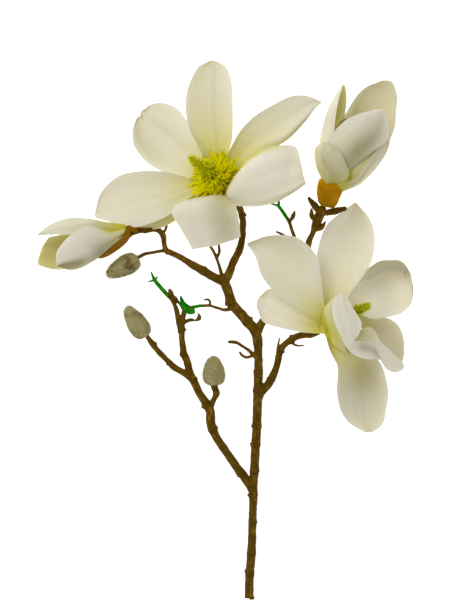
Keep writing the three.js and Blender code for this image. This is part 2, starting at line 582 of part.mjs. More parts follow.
// Stamens set round the column in a golden spiral, the lower ones spreading wider.
function stamenSolid(bloom) {
  const { radius, from, to, stamens, stamenLength, spread } = bloom.column;
  const { along, first, second } = square(bloom.axis);
  const core = turned([[from + gap, radius], [to, radius * 0.8]], bloom.base, bloom.axis, { sides: 8 });
  const needles = Array.from({ length: stamens }, (_, i) => {
    const share = (i + 0.5) / stamens;
    const angle = i * goldenAngle;
    const lean = THREE.MathUtils.degToRad(mix(spread, spread * 0.45, share));
    const out = first.clone().multiplyScalar(Math.cos(angle)).addScaledVector(second, Math.sin(angle));
    const root = vector(bloom.base).addScaledVector(along, mix(from + 1.6, to - 1.5, share)).addScaledVector(out, radius * 0.4);
    const way = out.multiplyScalar(Math.sin(lean)).addScaledVector(along, Math.cos(lean));
    const middle = root.clone().addScaledVector(way, stamenLength * 0.55);
    const tip = root.clone().addScaledVector(way, stamenLength).addScaledVector(along, stamenLength * 0.12);
    return limb([[...root, 1.3], [...middle, 1.2], [...tip, 0.7]], { sides: 3 });
  });
  return fused([core, ...needles]);
}

// The cone of carpels on top of the column, each with a small outward hook.
function pistilSolid(bloom, grow = 0) {
  const { to, pistil, radius } = bloom.column;
  const { along, first, second } = square(bloom.axis);
  const length = pistil - to;
  const coneRadius = (share) => radius * 0.95 * (1 - share) ** 0.6 + 0.5;
  const rows = [0, 0.25, 0.5, 0.75, 1].map((share) => [to + gap + share * length, coneRadius(share)]);
  const carpels = 24;
  const hooks = Array.from({ length: carpels }, (_, i) => {
    const share = 0.06 + (0.86 * i) / carpels;
    const angle = i * goldenAngle;
    const out = first.clone().multiplyScalar(Math.cos(angle)).addScaledVector(second, Math.sin(angle));
    const root = vector(bloom.base).addScaledVector(along, to + gap + share * length);
    const neck = root.clone().addScaledVector(out, coneRadius(share) * 0.5);
    const tip = root.clone().addScaledVector(out, coneRadius(share) + 1.5).addScaledVector(along, 1.2);
    return limb([[...neck, 1.4], [...tip, 0.7]], { sides: 3, grow });
  });
  return fused([turned(rows, bloom.base, bloom.axis, { sides: 8, grow }), ...hooks]);
}

const group = new THREE.Group();

function addPart(name, solid, colour) {
  const mesh = new THREE.Mesh(geometryOf(solid), new THREE.MeshStandardMaterial({ ...colour, metalness: 0 }));
  mesh.name = name;
  group.add(mesh);
}

addPart("woody_branch", woodSolid(), colours.bark);

for (const name of ["large_bloom", "side_bloom"]) {
  const bloom = blooms[name];
  const { radius, from } = bloom.column;
  const receptacle = turned(bloom.receptacle, bloom.base, bloom.axis, { sides: 10 });
  const columnRoom = turned([[from, radius + gap], [bloom.column.to + gap, radius + gap]], bloom.base, bloom.axis);
  const tepals = fused([receptacle, ...tepalSolids(bloom)]).subtract(columnRoom).subtract(woodRoom);
  const body = mainBody(tepals.subtract(floorCut));
  const tepalRoom = fused([body, ...tepalSolids(bloom, gap)]);
  const stamenCore = turned([[0, radius], [bloom.column.to, radius]], bloom.base, bloom.axis, { grow: gap / 2 });
  const stamenCut = fused([tepalRoom, pistilSolid(bloom, gap)]);
  addPart(name + "_tepals", body, colours.tepal);
  addPart(name + "_stamens", mainBody(stamenSolid(bloom).subtract(stamenCut)), colours.stamen);
  addPart(name + "_pistil", mainBody(pistilSolid(bloom).subtract(tepalRoom).subtract(stamenCore)), colours.pistil);
}

for (const name of ["upper_bud", "left_bud"]) {
  const bloom = blooms[name];
  const { axis, rows } = cups[name];
  const scale = (grow) => (name === "left_bud" ? [bladeSolid(sideScale, { thickness: scaleThickness + 2 * grow })] : []);
  const cup = fused([turned(rows, bloom.base, axis), ...scale(0)]);
  const cupRoom = fused([cup, turned(rows, bloom.base, axis, { grow: gap }), ...scale(gap)]);
  const heart = turned(bloom.heart, bloom.base, bloom.axis, { sides: 10 });
  const tepals = fused([heart, ...tepalSolids(bloom)]).subtract(cupRoom).subtract(woodRoom).subtract(floorCut);
  addPart(name + "_tepals", mainBody(tepals), colours.tepal);
  addPart(name + "_scale_cup", mainBody(cup.subtract(woodRoom).subtract(floorCut)), colours.budScale);
}

for (const [name, bud] of Object.entries(furryBuds)) {
  const way = vector(bud.tip).sub(vector(bud.foot));
  const rows = budProfile.map(([height, width]) => [gap + height * way.length(), (width * bud.diameter) / 2]);
  addPart(name, mainBody(turned(rows, bud.foot, [...way]).subtract(woodRoom)), colours.fur);
}

for (const [name, shoot] of Object.entries(greenShoots)) {
  const stems = shoot.limbs.map((route) => limb(route));
  const leaves = shoot.leaves.map((leaf) => bladeSolid(leaf, { thickness: scaleThickness, rows: 4, columns: 3 }));
  addPart(name, mainBody(fused([...stems, ...leaves]).subtract(woodRoom)), colours.shoot);
}

export default group;
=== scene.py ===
# A magnolia branch lying on its back: two open flowers, two flower buds, three furry leaf buds, green shoots.
# Every length in the tables is in millimetres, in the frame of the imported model.
import math

import bpy
import numpy as np
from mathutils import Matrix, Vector, kdtree, noise


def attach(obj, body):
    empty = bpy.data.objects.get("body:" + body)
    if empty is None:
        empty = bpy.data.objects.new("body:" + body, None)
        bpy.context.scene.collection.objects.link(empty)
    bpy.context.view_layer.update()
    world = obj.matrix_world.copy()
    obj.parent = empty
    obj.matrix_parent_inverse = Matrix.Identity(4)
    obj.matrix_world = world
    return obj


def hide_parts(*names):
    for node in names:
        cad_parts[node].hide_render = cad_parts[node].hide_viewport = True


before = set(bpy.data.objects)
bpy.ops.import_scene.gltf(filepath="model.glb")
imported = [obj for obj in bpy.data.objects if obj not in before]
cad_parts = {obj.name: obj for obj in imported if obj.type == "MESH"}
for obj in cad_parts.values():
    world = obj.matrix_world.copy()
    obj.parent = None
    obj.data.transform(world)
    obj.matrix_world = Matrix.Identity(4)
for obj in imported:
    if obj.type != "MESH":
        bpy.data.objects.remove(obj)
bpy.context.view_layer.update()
scene = bpy.context.scene
mm = 0.001
goldenAngle = math.pi * (3 - math.sqrt(5))


def linear(hexColour):
    channels = (int(hexColour[i:i + 2], 16) / 255 for i in (1, 3, 5))
    return (*(c / 12.92 if c <= 0.04045 else ((c + 0.055) / 1.055) ** 2.4 for c in channels), 1)


# Adds a node. Inputs go by name or number: values, hex colours, sockets, or nodes, of which the first output
# is linked. Settings are the node's own options.
def addNode(tree, kind, inputs=None, **settings):
    node = tree.nodes.new(kind)
    for name, value in settings.items():
        setattr(node, name, value)
    for name, value in (inputs or {}).items():
        slot = name
        if isinstance(name, str):
            slot = next(i for i, socket in enumerate(node.inputs) if socket.enabled and socket.name == name)
        for each in value if isinstance(value, list) else [value]:
            if isinstance(each, bpy.types.Node):
                each = next(output for output in each.outputs if output.enabled)
            if isinstance(each, bpy.types.NodeSocket):
                tree.links.new(each, node.inputs[slot])
            else:
                colour = isinstance(each, str) and each[0] == "#"
                node.inputs[slot].default_value = linear(each) if colour else each
    return node


def unit(vectors):
    return vectors / np.maximum(np.linalg.norm(vectors, axis=-1, keepdims=True), 1e-9)


# Two directions square to an axis.
def square(axis):
    along = Vector(axis).normalized()
    first = along.cross(Vector((0, 0, 1) if abs(along.z) < 0.9 else (0, 1, 0))).normalized()
    return along, first, along.cross(first)


# A Catmull-Rom curve through the points at each place from 0 to 1; power 0.5 makes it centripetal.
def curveThrough(points, places, power=0):
    points = np.array(points, float)
    padded = np.vstack([2 * points[0] - points[1], points, 2 * points[-1] - points[-2]])
    spot = np.asarray(places) * (len(points) - 1)
    at = np.minimum(spot.astype(int), len(points) - 2)
    t = (spot - at)[:, None]
    p0, p1, p2, p3 = (padded[at + shift] for shift in range(4))
    gaps = [
        np.linalg.norm((b - a)[:, :3], axis=1, keepdims=True) ** power
        for a, b in ((p0, p1), (p1, p2), (p2, p3))
    ]
    leave = ((p1 - p0) / gaps[0] - (p2 - p0) / (gaps[0] + gaps[1]) + (p2 - p1) / gaps[1]) * gaps[1]
    arrive = ((p2 - p1) / gaps[1] - (p3 - p1) / (gaps[1] + gaps[2]) + (p3 - p2) / gaps[2]) * gaps[1]
    return (
        (2 * t**3 - 3 * t**2 + 1) * p1 + (t**3 - 2 * t**2 + t) * leave
        + (3 * t**2 - 2 * t**3) * p2 + (t**3 - t**2) * arrive
    )


# One object from shells, each with points in millimetres, faces and named values for its points.
def makePiece(name, shells, material):
    points, faces, values, start = [], [], {}, 0
    for shell in shells:
        points.append(shell["points"])
        faces += [tuple(start + corner for corner in face) for face in shell["faces"]]
        for key, rows in shell.get("values", {}).items():
            values.setdefault(key, []).append((start, rows))
        start += len(shell["points"])
    placed = np.vstack(points) * mm
    mesh = bpy.data.meshes.new(name)
    mesh.from_pydata(placed.tolist(), [], faces)
    for key, parts in values.items():
        wide = np.ndim(parts[0][1]) == 2
        filled = np.zeros((start, 3) if wide else start, np.float32)
        for first, rows in parts:
            filled[first:first + len(rows)] = rows
        layer = mesh.attributes.new(key, "FLOAT_VECTOR" if wide else "FLOAT", "POINT")
        layer.data.foreach_set("vector" if wide else "value", filled.ravel())
    mesh.polygons.foreach_set("use_smooth", [True] * len(mesh.polygons))
    if material:
        mesh.materials.append(material)
    piece = bpy.data.objects.new(name, mesh)
    scene.collection.objects.link(piece)
    return piece


# Faces of a grid of rows and columns, closed across the columns where wrap is true.
def gridFaces(rows, columns, wrap=False):
    faces = []
    for row in range(rows - 1):
        for column in range(columns if wrap else columns - 1):
            below, above, beside = row * columns, (row + 1) * columns, (column + 1) % columns
            faces.append([below + column, below + beside, above + beside, above + column])
    return faces


# A shell turned about an axis from rows of height and radius, its ends drawn to a point, with lumps in it.
def turnedShell(rows, base, axis, sides=48, lumps=0.0, lumpPace=0.22, seed=0.0, smooth=6):
    along, first, second = square(axis)
    rows = curveThrough(np.array(rows, float), np.linspace(0, 1, (len(rows) - 1) * smooth + 1))
    angles = np.linspace(0, 2 * math.pi, sides, endpoint=False)
    out = np.outer(np.cos(angles), first) + np.outer(np.sin(angles), second)
    rings = [np.array(base) + np.array(along) * height + out * max(radius, 0.05) for height, radius in rows]
    points = np.vstack([*rings, rings[0].mean(0), rings[-1].mean(0)])
    faces = gridFaces(len(rows), sides, wrap=True)
    low, high = len(points) - 2, len(points) - 1
    for side in range(sides):
        faces.append([low, (side + 1) % sides, side])
        faces.append([high, high - 1 - sides + side, high - 1 - sides + (side + 1) % sides])
    if lumps:
        centre = np.array(base) + np.array(along) * np.mean(rows[:, 0])
        for i, point in enumerate(points):
            lump = noise.noise(Vector(point) * lumpPace + Vector((seed, 0, 0)))
            points[i] += unit(point - centre) * lumps * lump
    height = (points - np.array(base)) @ np.array(along)
    return {"points": points, "faces": faces, "values": {"rise": (height - height.min()) / np.ptp(height)}}


# Starts a Geometry Nodes tree with named inputs, each given as (socket type, default).
def startTree(name, inputs):
    tree = bpy.data.node_groups.new(name, "GeometryNodeTree")
    tree.interface.new_socket("Geometry", in_out="INPUT", socket_type="NodeSocketGeometry")
    for label, (kind, default) in inputs.items():
        socket = tree.interface.new_socket(label, in_out="INPUT", socket_type="NodeSocket" + kind)
        if default is not None:
            socket.default_value = default
    tree.interface.new_socket("Geometry", in_out="OUTPUT", socket_type="NodeSocketGeometry")
    return tree, addNode(tree, "NodeGroupInput").outputs


# Ends a tree in real geometry with its material.
def endTree(tree, geometry, material):
    real = addNode(tree, "GeometryNodeRealizeInstances", {"Geometry": geometry})
    painted = addNode(tree, "GeometryNodeSetMaterial", {"Geometry": real, "Material": material})
    addNode(tree, "NodeGroupOutput", {0: painted})
    return tree


# Grows a tree on a source object and keeps the result as a plain mesh; remesh fuses its shells.
def grow(source, tree, values, name, remesh=None):
    modifier = source.modifiers.new("grow", "NODES")
    modifier.node_group = tree
    for item in tree.interface.items_tree:
        if item.in_out == "INPUT" and item.name in values:
            modifier[item.identifier] = values[item.name]
    if remesh:
        fuse = source.modifiers.new("fuse", "REMESH")
        fuse.mode, fuse.voxel_size, fuse.use_smooth_shade = "VOXEL", remesh * mm, True
    mesh = bpy.data.meshes.new_from_object(source.evaluated_get(bpy.context.evaluated_depsgraph_get()))
    mesh.name = name
    bpy.data.objects.remove(source)
    piece = bpy.data.objects.new(name, mesh)
    scene.collection.objects.link(piece)
    return piece


# Says what a finished piece moves with and stands for.
def declare(piece, slotName, *nodes):
    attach(piece, "root")
    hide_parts(*nodes)
    print("made", piece.name, len(piece.data.polygons), "faces")


# The floor, the lamps and the camera.
studio = {
    "cameraPlace": (-17, 199, 2530), "distance": 2500, "frameHeight": 420, "farthest": 50000,
    "floorSide": 12000, "floorDrop": 0.4, "floorGlow": 0.75, "floorColour": "#ffffff",
    "skyColour": "#ffffff", "skyStrength": 0.36,
    "lamps": {
        "keyLamp": {"place": (-1150, 1150, 2100), "size": 1500, "power": 27.5},
        "fillLamp": {"place": (1300, -500, 1700), "size": 1800, "power": 6},
    },
}


def makeStudio():
    floor = makePiece("studioFloor", [{
        "points": np.array([[x, y, -studio["floorDrop"]] for x, y in ((-1, -1), (1, -1), (1, 1), (-1, 1))])
        * np.array([studio["floorSide"] / 2, studio["floorSide"] / 2, 1]),
        "faces": [[0, 1, 2, 3]],
    }], floorPaper())
    world = bpy.data.worlds.new("studioSky")
    world.use_nodes = True
    world.node_tree.nodes["Background"].inputs["Color"].default_value = linear(studio["skyColour"])
    world.node_tree.nodes["Background"].inputs["Strength"].default_value = studio["skyStrength"]
    scene.world = world
    for name, lamp in studio["lamps"].items():
        light = bpy.data.lights.new(name, "AREA")
        light.size, light.energy = lamp["size"] * mm, lamp["power"]
        lit = bpy.data.objects.new(name, light)
        lit.location = Vector(lamp["place"]) * mm
        aim = Vector((studio["cameraPlace"][0], studio["cameraPlace"][1], 0)) * mm - lit.location
        lit.rotation_euler = aim.to_track_quat("-Z", "Y").to_euler()
        scene.collection.objects.link(lit)
    lens = bpy.data.cameras.new("aboveCamera")
    lens.sensor_fit, lens.sensor_height = "VERTICAL", 36
    lens.lens = lens.sensor_height * studio["distance"] / studio["frameHeight"]
    lens.clip_end = studio["farthest"] * mm
    camera = bpy.data.objects.new("aboveCamera", lens)
    camera.location = Vector(studio["cameraPlace"]) * mm
    scene.collection.objects.link(camera)
    scene.camera = camera
    scene.view_settings.view_transform = "Standard"


def startMaterial(name):
    material = bpy.data.materials.new(name)
    material.use_nodes = True
    material.node_tree.nodes.clear()
    return material, material.node_tree


# Lays colours over the one named base. Each layer has the value it follows, the low and high between which it
# changes, its amount at low and at high, and the name of its colour.
def layColours(tree, colours, base, layers):
    mixed = colours[base]
    for value, low, high, bottom, top, colour in layers:
        factor = addNode(tree, "ShaderNodeMapRange", {
            "Value": value, "From Min": low, "From Max": high, "To Min": bottom, "To Max": top,
        })
        mixed = addNode(tree, "ShaderNodeMix", {
            "Factor": factor, "A": mixed, "B": colours[colour],
        }, data_type="RGBA")
    return mixed


# Smooth matt paper; its own glow washes out the shadows the branch would throw on it.
def floorPaper():
    material, tree = startMaterial("paleBackdropPaper")
    paper = addNode(tree, "ShaderNodeBsdfPrincipled", {
        "Base Color": studio["floorColour"], "Roughness": 0.9, "Emission Color": studio["floorColour"],
        "Emission Strength": studio["floorGlow"],
    })
    addNode(tree, "ShaderNodeOutputMaterial", {"Surface": paper})
    return material


# The woody branch. Its limbs are tubes fused at the size of voxel, and skin makes up for what that takes off.
# Knots swell the limbs that reach thickLimb, rings and leaf scars mark those over ringRadius, and ridges and
# lumps are at full depth from the radius fullRelief on. limbShift keeps one limb's pattern from repeating on
# the next. streak is its width and length, patch and speck are sizes.
bark = {
    "step": 1.0, "sides": 16, "curveSteps": 16, "voxel": 0.51, "skin": 0.18, "twigRows": 8,
    "tipCap": ((0.5, 0.86), (0.85, 0.5), (0.98, 0.2)), "rootCap": ((0.9, 0.3), (0.6, 0.8)),
    "thickLimb": 4, "knotSpacing": 18, "knotDrift": 7, "driftPace": 0.045, "knotSwell": 0.1,
    "knotLength": 2.2,
    "ringRadius": 1.6, "ringPlaces": (-1.5, 0.9), "ringDepth": 0.12, "ringWidth": 0.5,
    "scarHeight": 1.1, "scarLength": 1.4, "scarTurn": 2.3, "fullRelief": 2.5,
    "ridgeDepth": 0.16, "ridgePace": (1.5, 0.16), "lumpDepth": 0.32, "lumpPace": 0.28,
    "limbShift": {"knot": 3.1, "scar": 1.3, "ridge": 7.7, "grain": 11.3},
    "streak": (0.9, 4.1), "patch": 11, "speck": 1.1,
    "lenticelGap": 2.6, "lenticelSize": (0.22, 0.5), "lenticelShape": (1, 0.6, 0.45), "seed": 7,
    "dark": "#463000", "brown": "#745405", "light": "#937218", "moss": "#5e560c",
}

# Rows of x, y, z and diameter along each limb, from its root to its tip.
limbs = {
    "trunk": [
        (0, -12, 2.7, 5.7), (0.5, 4.5, 2.7, 5.9), (2, 25.5, 3, 5.7), (2.5, 43.5, 3.5, 5.3), (3, 57.5, 4, 5.6),
        (3.5, 75.5, 4.5, 5.6), (4.5, 93, 5, 6), (5.5, 110.5, 5.5, 6), (6, 128.5, 6, 6.3),
        (6.5, 146, 6.5, 6.1), (6.5, 162.5, 7.5, 5.5), (5, 175.5, 8.5, 7), (-1, 183.5, 9.5, 7),
        (-7.5, 191, 10.5, 7), (-12.5, 197, 11, 6.7), (-14.5, 204, 11.5, 6.6), (-16.5, 209.5, 12, 6.6),
        (-17.5, 214, 12.5, 5.6),
    ],
    "trunkSpur": [
        (3, 93, 5, 2.1), (1, 97.5, 5.5, 1),
    ],
    "trunkTwig": [
        (6, 157.5, 7, 3.2), (2.5, 161, 8, 2.5), (-1, 164, 8.5, 2), (-5.5, 167, 9, 1.9), (-9, 169, 9, 2.3),
        (-14, 169.5, 9, 1.9),
    ],
    "trunkTwigSide": [
        (4, 160, 8, 1.6), (-2, 158.5, 8, 1.7), (-5, 160, 8, 1.7), (-6.5, 162, 8.5, 1.3),
    ],
    "bloomStem": [
        (-17.5, 212.5, 12.5, 5.9), (-14, 218, 12.5, 5.6), (-11, 226, 13, 5.2), (-7, 234, 13, 4.9),
        (-5, 242, 13, 4.2), (-4.5, 248.5, 13.5, 4.2), (-4.5, 255.5, 15, 4.2), (-6.5, 263.5, 20, 4.2),
        (-11.5, 272.5, 28, 4.5), (-16.5, 279, 34, 4.9),
    ],
    "forkTwig": [
        (-18.5, 213, 13, 2.7), (-20.5, 221, 13.5, 2.1), (-23, 228.5, 14, 1.8), (-25.5, 234, 14, 1.8),
        (-29, 239, 14, 1.5),
    ],
    "forkTwigSide": [
        (-22.5, 228.5, 14, 1.4), (-21, 233, 14.5, 1.8), (-21.5, 238.5, 15, 1.4),
    ],
    "leftBough": [
        (-16.5, 211, 12, 5.9), (-26.5, 216, 12, 5.7), (-34, 220.5, 11.5, 5.6), (-39.5, 223.5, 11, 5.2),
        (-45, 227, 11, 4.2), (-51, 230.5, 10.5, 3.6), (-55.5, 232.5, 10.5, 4.2), (-59, 234, 10.5, 3.5),
    ],
    "leftBudStem": [
        (-58.5, 233, 10.5, 3.5), (-60, 239, 11, 3.2), (-60.5, 244, 11.5, 3.9), (-63, 247.5, 12, 3.8),
        (-67, 249, 13, 3.5), (-72.5, 248, 14, 3.5), (-77, 248, 15, 3.8), (-83, 247, 17, 4.9),
    ],
    "leftBudSpur": [
        (-61, 245.5, 11.8, 1.8), (-58.8, 249, 12, 1.6), (-58.2, 252, 12.2, 1.8),
    ],
    "leftFurryStem": [
        (-58, 234, 10.5, 2.8), (-63, 233.5, 10, 2.1), (-68, 232.5, 9.5, 2.1), (-73.5, 231.5, 9, 2.1),
        (-78.5, 229, 8.5, 2.4),
    ],
    "sideBloomStem": [
        (6, 129, 6, 5.6), (9, 134.5, 6.5, 5.7), (13.5, 139.5, 7, 5.6), (17.5, 147, 8, 5), (20, 154.5, 9, 4.6),
        (21.5, 161.5, 10, 4.3), (24.5, 167, 12, 4.3), (30.5, 171.5, 14, 4.5), (36, 174, 17, 4.3),
        (43.5, 174.5, 19.5, 3.8), (48.5, 176.5, 21.5, 3.6),
    ],
    "sideSpurLeft": [
        (20, 161.5, 10, 2), (20.5, 167.5, 11, 1.3), (21.5, 172, 12, 0.8),
    ],
    "sideSpurRight": [
        (28, 170, 13.5, 2.1), (33.5, 167, 14, 1.3), (38.5, 167, 15, 0.8),
    ],
    "middleTwig": [
        (-11.5, 193, 10.5, 3.1), (-17, 192, 10, 2.1), (-22.5, 193.5, 9.5, 1.8), (-28, 195, 9.5, 1.7),
        (-32.5, 195, 9.5, 2), (-34, 195, 9.5, 2),
    ],
    "middleTwigBud": [
        (-28, 195, 9.5, 1.1), (-27.5, 197.5, 10, 1.4), (-29, 199.5, 10.3, 1.4), (-31.5, 199, 10.5, 0.9),
    ],
    "rightBough": [
        (5.5, 175, 8.5, 5.6), (9, 183, 8.5, 5.2), (16, 194, 8.5, 4.9), (26, 210.5, 9, 4.5),
        (35, 225, 10, 4.2), (41, 236, 11.5, 4.1), (42.5, 241, 12, 3.9), (45, 246.5, 13, 3.6),
        (47, 252.5, 14, 5.1), (49, 257, 15, 6.1), (51, 262, 17, 6.8),
    ],
    "upperTwig": [
        (36.5, 226.5, 10.5, 2.5), (34.5, 235, 11.5, 2.2), (32.5, 242, 12, 2.1), (30.5, 247.5, 12, 2.1),
        (28.5, 253.5, 12.5, 2.1), (26.5, 257, 13, 2.1),
    ],
    "upperTwigBud": [
        (29, 254.5, 12.5, 1.4), (31, 258, 13, 2.8), (32, 261.5, 13.5, 1),
    ],
    "hiddenTwig": [
        (35, 233, 11, 1.8), (29.5, 239, 12, 1.7), (24.5, 244.5, 12.5, 1.8), (19.5, 247, 13, 1.1),
    ],
    "budLeafLeft": [
        (47, 254, 14, 2), (44, 258.5, 15, 3.2), (44, 263, 16, 1.1),
    ],
    "budLeafRight": [
        (46, 248, 13, 1.7), (51, 250, 14, 3.2), (53.5, 254, 15, 1.1),
    ],
    "collarLeafLeft": [
        (50, 260, 16, 3), (46, 265.5, 20, 4.6), (42, 270.3, 21, 2.1),
    ],
    "collarLeafRight": [
        (51, 260, 15, 3), (60, 261.5, 14, 4.6), (67.5, 263.5, 15, 2.6),
    ],
    "lowerBough": [
        (3, 64, 4, 5.6), (-3.5, 74, 4.5, 5.9), (-7.5, 79, 5, 5.7), (-12.5, 86.5, 5.5, 5.6),
        (-17.5, 93.5, 6, 5.5), (-23, 102, 6, 5.6), (-27, 111.5, 6, 6.3), (-27.5, 120, 6.5, 6.3),
        (-30, 125.5, 6.5, 5.6), (-35, 133, 7, 5), (-38.5, 140.5, 7, 5.3), (-41.5, 146.5, 7, 5.2),
    ],
    "shootStem": [
        (-41, 144, 7, 4.9), (-42.5, 150.5, 7.5, 4.9), (-44, 156, 8, 5), (-46, 161.5, 8, 4.2),
        (-47, 167, 8, 4.1), (-47.5, 173, 8.5, 4.1), (-47.5, 179, 9, 3.9), (-47, 185, 9, 3.5),
        (-46, 190, 9.5, 3.2), (-45.5, 192, 10, 2.8),
    ],
    "shootTwigLeft": [
        (-48, 175.5, 8.7, 3.2), (-50, 184, 9, 3.1), (-51, 191, 9.5, 3.4), (-52.5, 195.5, 10, 2.9),
        (-54.5, 199.5, 10.5, 2.7), (-57.5, 202.5, 11, 2.7),
    ],
    "shootKnob": [
        (-54.5, 201, 10.8, 2.1), (-55, 203.5, 11.2, 3.5), (-56, 206, 11.5, 2.1),
    ],
    "shootSmallBud": [
        (-46.5, 192.5, 10, 1.4), (-49.5, 197, 11, 1.5), (-52, 200, 11.5, 2.8), (-53, 201.5, 11.5, 1.7),
    ],
    "shootSideTwig": [
        (-47, 182, 9, 2.1), (-43, 184.5, 9.5, 2.2), (-40, 185, 9.5, 2), (-38, 184.5, 9.5, 0.8),
        (-35.5, 186, 9.5, 3.1), (-35, 187.5, 10, 2.4), (-36, 189.5, 10, 0.7),
    ],
    "furryStem": [
        (-40.5, 143.5, 7, 4.6), (-44.5, 146.5, 7, 4.2), (-48.5, 149, 7, 4.2), (-53.5, 152, 7, 4.5),
        (-58, 156.5, 7, 3.5), (-62.5, 161, 7.5, 3.9), (-66, 165, 7.5, 3.4), (-69, 169, 7.5, 3.5),
        (-72, 173.5, 7.5, 2.7),
    ],
    "furryStemRight": [
        (-28, 121.5, 6.5, 4.2), (-25, 128.5, 7, 3.5), (-23, 133, 8, 4.5), (-24, 136.5, 8.5, 4.5),
        (-24.5, 138.5, 9, 4.5),
    ],
}


# The number of the knot nearest to a place along a limb, and how far off it is; knots are unevenly spaced.
def nearestKnot(run, limb):
    spot = Vector((limb * bark["limbShift"]["knot"], run * bark["driftPace"], 0))
    drift = noise.noise(spot) * bark["knotDrift"]
    number, knot = divmod(run + bark["knotSpacing"] / 2 + drift, bark["knotSpacing"])
    return number, knot - bark["knotSpacing"] / 2


# Rows past the end of a limb that round it off; cap has each one's reach and radius as shares of the limb's.
def endRows(end, way, cap):
    return [[*(end[:3] + way * end[3] * reach), end[3] * share] for reach, share in cap]


# How far along a line each of its points is.
def runAlong(points):
    return np.concatenate([[0], np.cumsum(np.linalg.norm(np.diff(points[:, :3], axis=0), axis=1))])


# Points every step along a limb: x, y, z, radius and distance, with a rounded tip.
def limbPath(rows, limb=0):
    dense = curveThrough(rows, np.linspace(0, 1, (len(rows) - 1) * bark["curveSteps"] + 1), power=0.5)
    run = runAlong(dense)
    at = np.linspace(0, run[-1], max(int(run[-1] / bark["step"]), 4) + 1)
    path = np.column_stack([np.interp(at, run, dense[:, column]) for column in range(4)])
    path[:, 3] = path[:, 3] / 2 + bark["skin"]
    if max(row[3] for row in rows) >= bark["thickLimb"]:
        knot = np.array([nearestKnot(place, limb)[1] for place in at])
        path[:, 3] *= 1 + bark["knotSwell"] * np.exp(-((knot / bark["knotLength"]) ** 2))
    parts = [path, endRows(path[-1], unit(path[-1, :3] - path[-2, :3]), bark["tipCap"])]
    if len(rows) < bark["twigRows"]:  # twigs and spurs start inside their parent
        parts.insert(0, endRows(path[0], unit(path[0, :3] - path[1, :3]), bark["rootCap"]))
    path = np.vstack(parts)
    return np.column_stack([path, runAlong(path)])


# A tube of the named radius round every line of the source.
def tubeTree():
    tree, given = startTree("limbTubes", {"Sides": ("Int", 12), "Material": ("Material", None)})
    lines = addNode(tree, "GeometryNodeMeshToCurve", {"Mesh": given["Geometry"]})
    radius = addNode(tree, "GeometryNodeInputNamedAttribute", {"Name": "limbRadius"}, data_type="FLOAT")
    ring = addNode(tree, "GeometryNodeCurvePrimitiveCircle", {"Resolution": given["Sides"], "Radius": 1.0})
    tubes = addNode(tree, "GeometryNodeCurveToMesh", {
        "Curve": lines, "Profile Curve": ring, "Scale": radius, "Fill Caps": True,
    })
    return endTree(tree, tubes, given["Material"])


# Lines to run tubes along, from paths of points and radii.
def lineObject(name, paths):
    mesh = bpy.data.meshes.new(name)
    edges, start = [], 0
    for path in paths:
        edges += [(start + i, start + i + 1) for i in range(len(path) - 1)]
        start += len(path)
    rows = np.vstack([path[:, :4] for path in paths]) * mm
    mesh.from_pydata(rows[:, :3].tolist(), edges, [])
    layer = mesh.attributes.new("limbRadius", "FLOAT", "POINT")
    layer.data.foreach_set("value", rows[:, 3].astype(np.float32))
    lines = bpy.data.objects.new(name, mesh)
    scene.collection.objects.link(lines)
    return lines


# Two directions square to each point of the paths, without twist, and the direction along the limb.
def limbFrames(paths):
    frames = []
    for path in paths:
        tangents = unit(np.gradient(path[:, :3], axis=0))
        side = unit(np.cross(tangents[0], [0.3, 0.2, 1.0]))
        for tangent in tangents:
            side = unit(side - tangent * (side @ tangent))
            frames.append((side, np.cross(tangent, side), tangent))
    return frames


# How far the bark stands out at a place on a limb, and how much painted shade it gets for lying low in a ring
# or hollow.
def barkRelief(point, turn, radius, run, limb):
    shift = bark["limbShift"]
    around, lengthways = bark["ridgePace"]
    ridge = noise.noise(Vector((*(turn * radius * around), run * lengthways + limb * shift["ridge"])))
    lump = noise.noise(Vector(point) * bark["lumpPace"])
    thick = min(radius / bark["fullRelief"], 1)
    ring = scar = 0
    if radius > bark["ringRadius"]:
        number, knot = nearestKnot(run, limb)
        ring = sum(math.exp(-(((knot - place) / bark["ringWidth"]) ** 2)) for place in bark["ringPlaces"])
        scarWay = limb * shift["scar"] + number * bark["scarTurn"]  # out on one side, then on another
        scar = max(turn[0] * math.cos(scarWay) + turn[1] * math.sin(scarWay), 0) ** 4
        scar *= math.exp(-((knot / bark["scarLength"]) ** 2)) * thick
    depth = (ridge * bark["ridgeDepth"] + lump * bark["lumpDepth"]) * thick - ring * bark["ringDepth"]
    return depth + scar * bark["scarHeight"], ring * 0.45 - ridge * 0.5 - lump * 0.4
